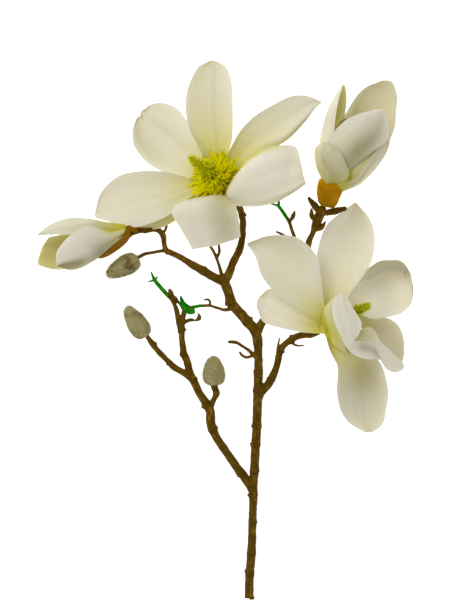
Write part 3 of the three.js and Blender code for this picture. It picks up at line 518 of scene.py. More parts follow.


# Carves rings, leaf scars, ridges and lumps into the bark, and keeps where each point lies round its limb and
# how much painted shade its hollows get.
def carveBark(piece, paths):
    mesh = piece.data
    count = len(mesh.vertices)
    points = np.empty(count * 3, np.float32)
    normals = np.empty(count * 3, np.float32)
    mesh.vertices.foreach_get("co", points)
    mesh.vertex_normals.foreach_get("vector", normals)
    points, normals = points.reshape(-1, 3) / mm, normals.reshape(-1, 3)
    samples = np.vstack([np.column_stack([path, np.full(len(path), i)]) for i, path in enumerate(paths)])
    frames = limbFrames(paths)
    tree = kdtree.KDTree(len(samples))
    for i, sample in enumerate(samples):
        tree.insert(sample[:3], i)
    tree.balance()
    grain = np.zeros((count, 3), np.float32)
    groove = np.zeros(count, np.float32)
    for i, point in enumerate(points):
        near = min(tree.find_n(point, 5), key=lambda found: found[2] - samples[found[1]][3])
        sample, (side, third, tangent) = samples[near[1]], frames[near[1]]
        off = point - sample[:3]
        run, limb, radius = sample[4] + off @ tangent, sample[5], max(sample[3], 0.3)
        across = np.array([off @ side, off @ third])
        turn = across / max(np.linalg.norm(across), 1e-6)
        depth, groove[i] = barkRelief(point, turn, radius, run, limb)
        points[i] = point + normals[i] * depth
        grain[i] = (turn[0] * radius, turn[1] * radius, run + limb * bark["limbShift"]["grain"])
    points[:, 2] = np.maximum(points[:, 2], 0)
    mesh.vertices.foreach_set("co", (points * mm).astype(np.float32).ravel())
    mesh.attributes.new("grain", "FLOAT_VECTOR", "POINT").data.foreach_set("vector", grain.ravel())
    mesh.attributes.new("groove", "FLOAT", "POINT").data.foreach_set("value", groove)
    mesh.update()


# Moulded branch painted as magnolia bark: dark brown with lighter streaks and moss patches, paler on the
# ridges as a painted highlight and darker in the rings and hollows as painted shade, with a dry broken gloss.
def magnoliaBark():
    material, tree = startMaterial("paintedMagnoliaBark")
    # in millimetres round and along a limb
    grain = addNode(tree, "ShaderNodeAttribute", attribute_name="grain").outputs["Vector"]
    # painted shade in the rings and hollows and a painted highlight on the ridges, from how low each point
    # lies
    groove = addNode(tree, "ShaderNodeAttribute", attribute_name="groove").outputs["Fac"]
    width, length = bark["streak"]
    long = addNode(tree, "ShaderNodeMapping", {"Vector": grain, "Scale": (1 / width, 1 / width, 1 / length)})
    streaks = addNode(tree, "ShaderNodeTexNoise", {
        "Vector": long, "Scale": 1.0, "Detail": 6, "Roughness": 0.65,
    })
    place = addNode(tree, "ShaderNodeTexCoord").outputs["Object"]
    patches = addNode(tree, "ShaderNodeTexNoise", {
        "Vector": place, "Scale": 1 / (bark["patch"] * mm), "Detail": 4,
    })
    specks = addNode(tree, "ShaderNodeTexNoise", {
        "Vector": place, "Scale": 1 / (bark["speck"] * mm), "Detail": 2,
    })
    halved = addNode(tree, "ShaderNodeMath", {0: specks, 1: 0.35}, operation="MULTIPLY")
    tone = addNode(tree, "ShaderNodeMath", {0: streaks, 1: 0.9, 2: halved}, operation="MULTIPLY_ADD")
    raised = addNode(tree, "ShaderNodeMath", {0: tone, 1: groove}, operation="SUBTRACT")
    height = addNode(tree, "ShaderNodeMath", {0: specks, 1: 0.6, 2: streaks}, operation="MULTIPLY_ADD")
    paint = addNode(tree, "ShaderNodeBsdfPrincipled", {
        "Base Color": layColours(tree, bark, "dark", [
            (tone, 0.42, 0.85, 0.0, 1.0, "brown"), (raised, 0.62, 1.25, 0.0, 1.0, "light"),
            (patches, 0.55, 0.8, 0.0, 0.5, "moss"), (groove, 0.15, 0.8, 0.0, 0.75, "dark"),
        ]),
        "Specular IOR Level": 0.08,
        "Roughness": addNode(tree, "ShaderNodeMapRange", {
            "Value": streaks, "From Min": 0.3, "From Max": 0.7, "To Min": 0.75, "To Max": 0.55,
        }),
        "Normal": addNode(tree, "ShaderNodeBump", {"Height": height, "Strength": 0.7, "Distance": 0.4 * mm}),
    })
    addNode(tree, "ShaderNodeOutputMaterial", {"Surface": paint})
    return material


# Small corky dots scattered on the bark, as lenticels are.
def lenticelTree():
    tree, given = startTree("barkLenticels", {
        "Gap": ("Float", 0.003), "Smallest": ("Float", 0.0002), "Largest": ("Float", 0.0005),
        "Seed": ("Int", 1), "Material": ("Material", None),
    })
    spots = addNode(tree, "GeometryNodeDistributePointsOnFaces", {
        "Mesh": given["Geometry"], "Distance Min": given["Gap"], "Density Max": 200000.0,
        "Seed": given["Seed"],
    }, distribute_method="POISSON")
    dot = addNode(tree, "GeometryNodeMeshIcoSphere", {"Radius": 1.0, "Subdivisions": 1})
    size = addNode(tree, "FunctionNodeRandomValue", {
        "Min": given["Smallest"], "Max": given["Largest"], "Seed": given["Seed"],
    }, data_type="FLOAT")
    shape = addNode(tree, "ShaderNodeVectorMath", {
        0: bark["lenticelShape"], "Scale": size,
    }, operation="SCALE")
    dots = addNode(tree, "GeometryNodeInstanceOnPoints", {
        "Points": spots, "Instance": dot, "Rotation": spots.outputs["Rotation"], "Scale": shape,
    })
    both = addNode(tree, "GeometryNodeJoinGeometry", {0: [given["Geometry"], dots]})
    return endTree(tree, both, given["Material"])


def makeBranch():
    paths = [limbPath(rows, i) for i, rows in enumerate(limbs.values())]
    material = magnoliaBark()
    lines = lineObject("limbLines", paths)
    values = {"Sides": bark["sides"], "Material": material}
    wood = grow(lines, tubeTree(), values, "fusedWood", remesh=bark["voxel"])
    print("fused the limbs", len(wood.data.polygons), "faces")
    carveBark(wood, paths)
    values = {
        "Gap": bark["lenticelGap"] * mm, "Smallest": bark["lenticelSize"][0] * mm,
        "Largest": bark["lenticelSize"][1] * mm, "Seed": bark["seed"], "Material": material,
    }
    branch = grow(wood, lenticelTree(), values, "woodyBranch")
    branch.data.polygons.foreach_set("use_smooth", [True] * len(branch.data.polygons))
    declare(branch, "bark", "woody_branch")


# The tepals. edgeShare is how thick they still are near the rim, tip the share of the length that is rounded
# out at its end, mostRoll the share of half the width that may turn back. waves has the pace, shift, slant and
# share of each ripple. cloud is the size of the warmer areas, vein the gap between veins and their length, and
# fold the width and length of the soft folds in the cloth.
tepalForm = {
    "thickness": 0.8, "edgeShare": 0.35, "rows": 56, "columns": 34, "tipCrowding": 1.2,
    "neck": [(0.12, 0.5), (0.5, 1.0)], "sag": 0.28, "ripple": 0.5, "lip": 0.6, "blunt": 0.3,
    "waves": ((9, 1, 1.4, 0.6), (17, 2.3, -2, 0.4)), "waveShift": 1.7, "uneven": 0.35, "unevenPace": (7, 3),
    "tip": 0.25, "mostRoll": 0.8, "rollEase": 0.15, "rimFade": 0.3, "veinShift": 5.0, "glowReach": 26,
    "heartGlow": 0.9, "cloud": 24, "vein": (0.7, 50), "fold": (7, 26), "foldDepth": 1.1,
    # olive serves both as the tepals' own olive tint and as their painted shade
    "cream": "#efe9d8", "warm": "#ece6cc", "grey": "#d9d4c2", "yellowGreen": "#cdc51e", "olive": "#9d9668",
}


# The two edges of a tepal, drawn on to its flower's base, and the place where it comes out of the flower.
def neckedEdges(shape, base):
    edges = [np.array(shape[side], float) for side in ("left", "right")]
    root = (edges[0][0] + edges[1][0]) / 2
    if base is None:
        return root, edges
    foot, neck = np.array(base), shape.get("neck", tepalForm["neck"])
    return root, [
        np.vstack([*(foot + (root - foot) * deep + (edge[0] - root) * wide for deep, wide in neck), edge])
        for edge in edges
    ]


# How far a tepal lies above the line between its edges: its hollow, ridges, ripples and lifted rim.
def tepalLift(shape, uu, vv, half, phase):
    hollow = shape.get("sag", tepalForm["sag"])
    if not np.isscalar(hollow):
        hollow = np.interp(uu, *zip(*hollow))
    lift = -hollow * half * (1 - vv**2)
    for centre, height, width in shape.get("ridges", []):
        fade = np.sin(math.pi * np.minimum(uu, 0.98)) ** 0.5
        lift = lift + height * np.exp(-(((vv - centre) / width) ** 2)) * fade
    wave = shape.get("ripple", tepalForm["ripple"]) * uu * np.abs(vv) ** 2
    for pace, shift, slant, share in tepalForm["waves"]:
        lift = lift + wave * np.sin(uu * pace + phase * shift + slant * vv) * share
    across, lengthways = tepalForm["unevenPace"]
    lift = lift + tepalForm["uneven"] * uu * np.sin(vv * across + phase + uu * lengthways)
    return lift + tepalForm["lip"] * np.abs(vv) ** 8 * np.sin(math.pi * uu) ** 0.5


# Where the points lie sideways from the middle, and how high, once the borders are turned back.
def rollBorders(shape, uu, vv, half, lift):
    sideways, ease = half * vv, tepalForm["rollEase"]
    for roll in shape.get("rolls", []):
        window = np.clip((uu - roll["start"]) / roll.get("ease", ease), 0, 1)
        window = window * np.clip((roll["end"] - uu) / ease, 0, 1)
        window = window * window * (3 - 2 * window) * 0.998 + 0.002
        radius = np.minimum(roll["radius"], half * tepalForm["mostRoll"])
        begins = 1 - radius / half
        share = np.clip((roll["side"] * vv - begins) / (1 - begins), 0, 1)
        turn = math.radians(roll["turn"]) * window
        flap = np.minimum(roll.get("flap", 0) * window**2, half * tepalForm["mostRoll"])
        arc = share * (radius * (1 - window) + radius * turn + flap)
        bend = window / radius
        angle = np.minimum(arc * bend, turn)
        flat = np.maximum(arc - angle / bend, 0)
        turned = half * begins + np.sin(angle) / bend + flat * np.cos(angle)
        raised = roll["up"] * ((1 - np.cos(angle)) / bend + flat * np.sin(angle))
        sideways = np.where(share > 0, roll["side"] * turned, sideways)
        lift = lift + np.where(share > 0, raised, 0)
    return sideways, lift


# How far the end of a tepal is drawn back: the cleft in it and the rounding of its tip.
def tipCut(shape, uu, vv, half):
    place, depth, width = shape.get("notch", (0, 0, 0.3))
    cleft = depth * np.exp(-(((vv - place) / width) ** 2)) * uu**10
    ending = np.clip((uu - 1 + tepalForm["tip"]) / tepalForm["tip"], 0, 1) ** 2
    rounding = np.sqrt(np.maximum(1 - vv**2, 0)) - 0.5
    return cleft - shape.get("blunt", tepalForm["blunt"]) * half * rounding * ending


# How yellow green each point is, and how olive, which is partly the tepal's own tint and partly painted shade,
# on the inner side and then on the outer one.
def tepalTints(shape, uu, vv, reach):
    inner = np.repeat((0, 1), uu.size * vv.size)
    glow = np.take(shape.get("wash", (0, 0)), inner)
    glow = glow + np.exp(-((reach / shape.get("reach", tepalForm["glowReach"])) ** 2))
    # khaki and shades: the tepal's own olive tint plus spots of painted shade
    shadeAndOlive = np.take(shape.get("khaki", (0, 0)), inner)
    for spotU, spotV, reaches, amount in shape.get("paintedShades", []):
        spread = ((uu - spotU) / reaches[0]) ** 2 + ((vv - spotV) / reaches[1]) ** 2
        shadeAndOlive = shadeAndOlive + np.tile((amount * np.exp(-spread)).ravel(), 2)
    for side, width, amount, end in shape.get("rims", []):
        fade = np.clip((end - uu) / tepalForm["rimFade"], 0, 1)
        band = amount * np.exp(-(((1 - side * vv) / width) ** 2)) * fade
        glow = glow + np.tile(band.ravel(), 2)
    return np.clip(glow, 0, 1), np.clip(shadeAndOlive, 0, 1)


# A closed petal between its two edges, thick in the middle and thin at the rim. Along it u runs from 0 at the
# root to 1 at the tip, across it v from -1 to 1. A tepal may have any of these of its own:
# neck: how far from the flower's base, and how wide, the hidden rows before its root are
# sag: its hollow as a share of its half width; face: the way the hollow opens
# blunt: how far its tip is rounded out; notch: v, depth and width of a cleft at the tip
# ridges: v, height and width of folds along it; ripple: the wave of the rim
# rolls: borders turned back from start to end, by radius and degrees, and the flat flap after them
# reach: how far the yellow green of the root goes; wash: the same all over, inside and outside
# khaki: olive inside and outside, partly own tint and partly painted shade; shades: u, v, size and amount of
# spots of painted shade
# rims: side, width, amount and end of yellow green along a border
def tepalShell(shape, base, thickness, rows, columns, index):
    root, edges = neckedEdges(shape, base)
    u = 1 - (1 - np.linspace(0, 1, rows + 1)) ** tepalForm["tipCrowding"]
    v = np.sin(np.linspace(-math.pi / 2, math.pi / 2, columns + 1))
    uu, vv = u[:, None], v[None, :]
    left, right = (curveThrough(edge, u) for edge in edges)
    middle = (left + right) / 2
    before, ahead = (
        sum(curveThrough(edge, np.clip(u + step, 0, 1)) for edge in edges) / 2 for step in (-0.01, 0.01)
    )
    along = unit(ahead - before)
    half = np.linalg.norm(right - left, axis=1)[:, None] / 2
    chord = unit(right - left)
    inward = np.tile(np.array(shape.get("face", (0, 0, 1)), float), (len(u), 1))
    inward -= chord * (inward * chord).sum(1, keepdims=True)
    inward = unit(inward - along * (inward * along).sum(1, keepdims=True))
    lift = tepalLift(shape, uu, vv, half, index * tepalForm["waveShift"])
    sideways, lift = rollBorders(shape, uu, vv, half, lift)
    surface = (
        middle[:, None] + chord[:, None] * sideways[..., None] + inward[:, None] * lift[..., None]
        - along[:, None] * tipCut(shape, uu, vv, half)[..., None]
    )
    normal = unit(np.cross(np.gradient(surface, axis=1), np.gradient(surface, axis=0)))
    normal *= np.sign((normal * inward[:, None]).sum(-1).mean())
    rim = np.sqrt(np.maximum(1 - vv**2, 0)) * np.sqrt(np.clip(1 - uu**14, 0, 1))
    rim = rim * np.minimum(1, 0.2 + uu * 20)
    thin = tepalForm["edgeShare"]
    depth = (thickness / 2) * (thin + (1 - thin) * (1 - vv**4)) * rim
    sides = [surface + normal * depth[..., None], surface - normal * depth[..., None]]
    points = np.vstack([side.reshape(-1, 3) for side in sides])
    points[:, 2] = np.maximum(points[:, 2], 0)
    # the two sides share the points of the rim
    size = (rows + 1) * (columns + 1)
    number = np.arange(size).reshape(rows + 1, columns + 1)
    behind = number + size
    behind[[0, -1]], behind[:, [0, -1]] = number[[0, -1]], number[:, [0, -1]]
    behind = behind.ravel()
    across = surface[rows // 2, 1] - surface[rows // 2, 0]
    order = 1 if np.cross(across, along[rows // 2]) @ inward[rows // 2] > 0 else -1
    faces = []
    for over in gridFaces(rows + 1, columns + 1):
        under = [behind[corner] for corner in over]
        faces += [over[::order], under[::-order]]
    reach = np.linalg.norm(points - (root if base is None else np.array(base)), axis=1)
    glow, khaki = tepalTints(shape, uu, vv, reach)
    length = np.linalg.norm(np.diff(middle, axis=0), axis=1).sum()
    values = {
        "glow": glow, "khaki": khaki,
        "veins": np.column_stack([  # in millimetres across and along
            np.tile((sideways / np.maximum(half, 1e-6)).ravel(), 2) * half.max(),
            np.tile(np.broadcast_to(uu, sideways.shape).ravel(), 2) * length,
            np.full(2 * size, index * tepalForm["veinShift"]),
        ]),
    }
    return dropUnused({"points": points, "faces": faces, "values": values})


# Drops the points that no face uses.
def dropUnused(shell):
    used = np.unique(np.array([corner for face in shell["faces"] for corner in face]))
    place = np.zeros(len(shell["points"]), int)
    place[used] = np.arange(len(used))
    return {
        "points": shell["points"][used],
        "faces": [[int(place[corner]) for corner in face] for face in shell["faces"]],
        "values": {key: np.asarray(rows)[used] for key, rows in shell["values"].items()},
    }


# Tepals of waxy coated cloth, cast thin: cream with faint lengthwise veins and a soft satin sheen, light
# shining a little way into them, yellow green rising from the root, and olive that is partly their own tint
# and partly painted shade.
def waxyTepal():
    material, tree = startMaterial("waxyCreamTepal")
    glow = addNode(tree, "ShaderNodeAttribute", attribute_name="glow").outputs["Fac"]
    # khaki: the olive amount, partly the tepal's own tint and partly painted shade in hollows, folds, rolled
    # rims and behind other tepals
    khaki = addNode(tree, "ShaderNodeAttribute", attribute_name="khaki").outputs["Fac"]
    veins = addNode(tree, "ShaderNodeAttribute", attribute_name="veins").outputs["Vector"]
    place = addNode(tree, "ShaderNodeTexCoord").outputs["Object"]
    clouds = addNode(tree, "ShaderNodeTexNoise", {
        "Vector": place, "Scale": 1 / (tepalForm["cloud"] * mm), "Detail": 3,
    })
    gap, length = tepalForm["vein"]
    along = addNode(tree, "ShaderNodeMapping", {"Vector": veins, "Scale": (1 / gap, 1 / length, 1)})
    fine = addNode(tree, "ShaderNodeTexNoise", {"Vector": along, "Scale": 1.0, "Detail": 5, "Roughness": 0.6})
    width, run = tepalForm["fold"]
    lengthways = addNode(tree, "ShaderNodeMapping", {"Vector": veins, "Scale": (1 / width, 1 / run, 1)})
    folds = addNode(tree, "ShaderNodeTexNoise", {"Vector": lengthways, "Scale": 1.0, "Detail": 2})
    uneven = addNode(tree, "ShaderNodeMapRange", {
        "Value": fine, "From Min": 0.3, "From Max": 0.7, "To Min": 0.75, "To Max": 1.25,
    })
    streaked = addNode(tree, "ShaderNodeMath", {0: glow, 1: uneven}, operation="MULTIPLY")
    creased = addNode(tree, "ShaderNodeBump", {
        "Height": folds, "Strength": 0.6, "Distance": tepalForm["foldDepth"] * mm,
    })
    wax = addNode(tree, "ShaderNodeBsdfPrincipled", {
        "Base Color": layColours(tree, tepalForm, "cream", [
            (clouds, 0.35, 0.7, 0.0, 1.0, "warm"), (fine, 0.5, 0.75, 0.0, 0.25, "grey"),
            (khaki, 0.0, 1.0, 0.0, 1.0, "olive"), (streaked, 0.0, 1.0, 0.0, 1.0, "yellowGreen"),
        ]),
        "Roughness": 0.5, "IOR": 1.45, "Specular IOR Level": 0.25, "Subsurface Weight": 0.25,
        "Subsurface Radius": (1.0, 0.9, 0.6), "Subsurface Scale": 2 * mm,
        "Normal": addNode(tree, "ShaderNodeBump", {
            "Height": fine, "Strength": 0.2, "Distance": 0.3 * mm, "Normal": creased,
        }),
    })
    addNode(tree, "ShaderNodeOutputMaterial", {"Surface": wax})
    return material


# In the tepal tables khaki and shades lay on olive, partly as the tepals' own tint and partly as painted shade
# in hollows, folds, rolled rims and where tepals lie behind others.
largeBloom = {
    "base": (-18.5, 280.5, 36), "axis": (-0.56, 0.42, 0.71),
    "tepals": {
        "top": {
            "left": [
                (-32.5, 300, 37), (-41, 316, 36), (-44.5, 331.5, 30), (-43.3, 347, 25), (-37, 361, 22),
                (-31, 365.6, 20), (-26.5, 367.4, 19),
            ],
            "right": [
                (-15, 299, 38), (-12, 311, 36), (-11.5, 326.5, 30), (-12, 349, 24.5), (-15, 360.5, 21.5),
                (-19.5, 365.2, 20), (-24.5, 367.4, 19),
            ],
            "reach": 42, "paintedShades": [(0.93, -0.5, (0.14, 0.5), 0.36), (0.62, -0.1, (0.2, 0.8), 0.12)],
            "ridges": [(0.1, 0.6, 0.12), (-0.6, -0.4, 0.3)],
        },
        "upperRight": {
            "left": [
                (-15, 301.5, 41), (-6.3, 317, 45), (4, 327.3, 48), (15.5, 334.3, 50.5), (27, 340, 51.5),
                (36, 341.3, 50), (44, 339.8, 47.5), (49.8, 337.2, 45),
            ],
            "right": [
                (-4.5, 292, 38), (8.5, 302, 40), (25, 308.5, 42), (38.5, 321.5, 44), (46, 331, 45),
                (50.5, 336.5, 45),
            ],
            "rolls": [{"side": 1, "radius": 3.2, "turn": 110, "start": 0.42, "end": 1.2, "up": -1}],
            "reach": 34, "khaki": (0.02, 0.39), "paintedShades": [(0.7, 0.86, (0.35, 0.14), 0.8)],
        },
        "right": {
            "left": [
                (-9.5, 284.5, 42), (-0.5, 296, 56), (10.5, 303, 67), (22.5, 305.5, 75), (31.5, 304, 78),
                (34.6, 295, 79),
            ],
            "right": [
                (-16, 272, 42), (-11, 265, 52), (8.5, 264, 63), (24.5, 269.5, 71), (38.2, 278.6, 75),
            ],
            "sag": [(0, 0), (0.3, -0.5), (0.5, -0.6), (0.67, -0.15), (0.83, 0.1), (1, 0.15)], "blunt": -0.06,
            "rims": [(-1, 0.11, 1.3, 0.8)], "ridges": [(0.2, 0.7, 0.25)], "reach": 18,
            "rolls": [{"side": 1, "radius": 2.6, "turn": 100, "start": 0.7, "end": 1.2, "up": -1}],
            "paintedShades": [(0.85, 0.9, (0.25, 0.13), 0.6), (1.02, 0.3, (0.05, 1), 0.31)],
        },
        "bottom": {
            "left": [
                (-30, 272, 42), (-46.5, 267, 54), (-54, 260, 58), (-48, 249, 54), (-40, 234.5, 44),
            ],
            "right": [
                (-15.5, 273, 42), (-10.5, 269, 52), (-9, 262, 57), (-7.5, 253.5, 54), (-6, 243, 46),
            ],
            "sag": [(0, 0), (0.33, -0.25), (0.55, -0.3), (0.75, -0.3), (1, -0.12)], "blunt": 0.05,
            "ridges": [(-0.05, 0.7, 0.25), (-0.6, -0.5, 0.3)], "paintedShades": [(0.8, 0.55, (0.45, 0.5), 0.42)],
            "reach": 22,
        },
        "left": {
            "left": [
                (-39.5, 284, 38), (-57.5, 288.5, 33), (-76, 289.5, 27), (-92, 286, 21), (-104.5, 274.5, 17),
                (-108.5, 261, 15),
            ],
            "right": [
                (-40, 271.5, 36), (-55.5, 259, 30), (-70, 252.6, 24), (-84, 250, 19), (-97, 253.2, 16),
                (-108.5, 256.6, 15),
            ],
            "reach": 34, "ridges": [(0.35, 0.9, 0.14), (-0.4, -0.5, 0.25)],
        },
        "lowerLeftBehind": {
            "left": [
                (-41.5, 277.5, 27), (-55.5, 266, 18), (-66, 259, 14), (-76.5, 256, 12), (-83, 251.5, 12),
            ],
            "right": [
                (-40, 269, 29), (-50, 256, 22), (-62.5, 249.5, 17), (-74, 248.5, 14), (-82.5, 249, 13),
            ],
            "khaki": (0.39, 0.39), "reach": 40, "wash": (0.1, 0.1), "sag": 0.1,
        },
        "upperLeft": {
            "left": [
                (-39, 283, 34), (-53.5, 286, 28), (-70, 294, 23), (-80.5, 306.5, 19), (-82, 319.5, 17),
                (-79, 326.5, 17),
            ],
            "right": [
                (-30.5, 303.5, 37), (-41, 320.5, 33), (-49.5, 332.5, 26), (-60.5, 337.5, 20),
                (-69.5, 336.5, 17), (-75, 332.5, 17),
            ],
            "paintedShades": [(0.75, -0.75, (0.25, 0.3), 0.3), (0.75, 0, (0.3, 1), 0.1)], "reach": 26,
            "ridges": [(0.05, -0.9, 0.12), (0.45, 0.5, 0.2)], "notch": (-0.1, 2.8, 0.32),
        },
    },
}

sideBloom = {
    "base": (54, 180, 27), "axis": (0.76, 0.4, 0.515),
    "tepals": {
        "upperLeft": {
            "left": [
                (53, 192, 34), (50, 213, 36), (47, 229.5, 37), (33.5, 242.5, 37), (14, 244, 34),
                (-0.5, 239, 31),
            ],
            "right": [
                (50.5, 183.5, 30), (37, 192, 33), (18, 204.5, 36), (8.5, 216, 37), (4.5, 228.5, 34),
                (-1.5, 237.5, 31),
            ],
            "reach": 21, "paintedShades": [(0.9, -0.7, (0.25, 0.7), 0.39)], "ridges": [(0.1, -0.8, 0.3)],
        },
        "top": {
            "left": [
                (51, 187, 30), (47.5, 210, 28), (47.5, 231, 24), (53.5, 250, 19), (64.5, 260.5, 15),
                (73.5, 267.5, 13),
            ],
            "right": [
                (67.5, 199.5, 31), (76.5, 210.5, 27), (85.5, 225.5, 23), (88.5, 241.5, 18), (85, 256.5, 15),
                (76, 267.5, 13),
            ],
            "reach": 24, "paintedShades": [(0.96, 0.2, (0.2, 1), 0.39)], "ridges": [(0.2, 0.7, 0.3)],
        },
        "right": {
            "left": [
                (69.5, 201.5, 29), (77, 211, 25), (85.5, 224, 21), (96, 227.8, 18), (108, 226, 18),
                (112, 218, 20),
            ],
            "right": [
                (70.5, 192, 28), (79, 185.5, 25), (94, 186.5, 21), (107, 189.7, 17), (115, 198.5, 17),
                (114.5, 211, 19),
            ],
            "rolls": [{
                "side": -1, "radius": 2.2, "turn": 160, "flap": 8, "start": 0.22, "end": 1.03, "ease": 0.34,
                "up": 1,
            }],
            "khaki": (0, 0.75), "reach": 20,
        },
        "lowerRightBehind": {
            "left": [
                (75, 189, 27), (86.5, 186, 24), (97, 186.5, 22), (105, 181, 20), (109, 171, 18),
                (109, 161.5, 17),
            ],
            "right": [
                (75, 182.5, 25), (81.5, 175, 23), (87.5, 166.5, 21), (93, 159.5, 19), (100.5, 154, 18),
                (107.5, 154.5, 17),
            ],
            "sag": 0.15, "khaki": (0.35, 0.46), "paintedShades": [(0.35, 0, (0.2, 1.5), 0.31)],
        },
        "lowerRight": {
            "left": [
                (77.5, 178.5, 34), (83.7, 180.5, 38), (88.2, 176.4, 39.5), (91.2, 170.5, 39),
                (96.8, 165.5, 37), (101.5, 160.2, 34), (106.2, 156.8, 31), (108.6, 153.5, 29.5),
            ],
            "right": [
                (74.3, 171.5, 33), (79.3, 170.4, 36.5), (85.3, 168.3, 39), (89.8, 162, 38.5),
                (91.9, 156.5, 36), (95.7, 151, 33), (101.5, 148.2, 30), (107, 149.3, 28.5),
            ],
            "sag": 0.1, "reach": 24, "blunt": 0.5, "ripple": 0.2,
        },
        "bottom": {
            "left": [
                (53.5, 176, 28), (59, 162.5, 29), (62, 150, 27), (61.5, 135, 22), (65, 120, 16),
                (72, 111, 13), (81, 105.8, 12),
            ],
            "right": [
                (69.5, 175, 30), (82, 164.5, 31), (92.5, 154, 27), (97.6, 136, 21), (96.5, 121, 15),
                (93.8, 110.5, 13), (87.5, 105.8, 12),
            ],
            "paintedShades": [
                (0.53, 0.1, (0.13, 0.8), 0.6), (0.72, 0.1, (0.25, 1), 0.25), (1, 0.2, (0.1, 0.2), 0.4),
            ],
            "reach": 30, "ridges": [(0.15, -0.8, 0.14)], "blunt": 0.25,
        },
        "bottomSide": {
            "left": [(62.5, 150, 22), (61.5, 135, 17), (64.4, 121, 11), (70, 112.5, 8)],
            "right": [(72, 150, 17), (72, 135, 12), (73, 121, 7), (72.5, 112.5, 7)],
            "khaki": (0.23, 0.23), "blunt": 0.2, "ripple": 0.2,
        },
        "left": {
            "left": [
                (52, 185.5, 29), (39, 192, 29), (24.5, 202, 27), (14, 207, 25), (7, 201.5, 24),
            ],
            "right": [
                (52, 175.5, 25), (37, 176.5, 26), (20, 180, 25), (9.5, 184, 24), (5, 194, 24),
            ],
            "reach": 17, "rims": [(-1, 0.12, 0.5, 1)],
        },
        "throat": {
            "left": [(54.5, 172.4, 29), (52.6, 176, 30), (50.3, 182.7, 32), (49.9, 188.5, 35)],
            "right": [(57.5, 172.4, 31), (57, 176.8, 33), (55.5, 183.6, 36), (52.5, 189.5, 38)],
            "wash": (1, 1), "khaki": (0.27, 0.27), "ripple": 0.9,
        },
        "frontWall": {
            "left": [
                (62, 161.5, 20), (58.3, 167, 29), (55.8, 173.5, 34), (55.1, 179.3, 37), (52.8, 184.5, 40),
                (50.7, 190, 44), (51.7, 194, 47), (54.8, 197.8, 51), (59.2, 201.9, 56),
            ],
            "right": [
                (71, 158.5, 18), (69, 162, 27.5), (67, 168, 36), (69, 177, 44), (69.5, 183, 48),
                (70, 190, 52), (70, 193, 54), (68, 197, 56), (64, 202, 58),
            ],
            "sag": -0.2, "reach": 20, "wash": (0.2, 0.16), "rims": [(-1, 0.12, 0.85, 1.3)],
        },
        "frontStanding": {
            "left": [
                (91.5, 157, 33), (88.1, 158.1, 38.5), (83.1, 157.8, 44), (78.3, 158.7, 48), (73.6, 160.6, 50),
                (69, 164.3, 52), (65.2, 169.8, 55), (62.3, 176, 59), (58.3, 184.6, 64), (56.7, 193.8, 69),
                (58.6, 200, 71.3), (61, 203.4, 72.7),
            ],
            "right": [
                (91, 164.5, 33), (88, 165, 38), (84.8, 168.3, 42.5), (79.5, 170.5, 48), (75.3, 170.8, 52.5),
                (72.9, 171.4, 56), (74.8, 174.1, 58), (76.3, 177.8, 60.5), (77, 184.2, 65), (71.6, 193.2, 70),
                (68, 199.8, 71.8), (65.4, 203.4, 73),
            ],
            "sag": [(0, 0), (0.2, 0.1), (0.38, 0.4), (0.55, -0.1), (1, -0.3)], "reach": 12, "blunt": 0.5,
            "paintedShades": [(0.36, 0.4, (0.13, 0.7), 0.5), (0.2, 0, (0.07, 1.5), 0.2)], "ripple": 0.3,
            "neck": [(0.12, 0.5), (0.5, 0.8)],
        },
    },
}

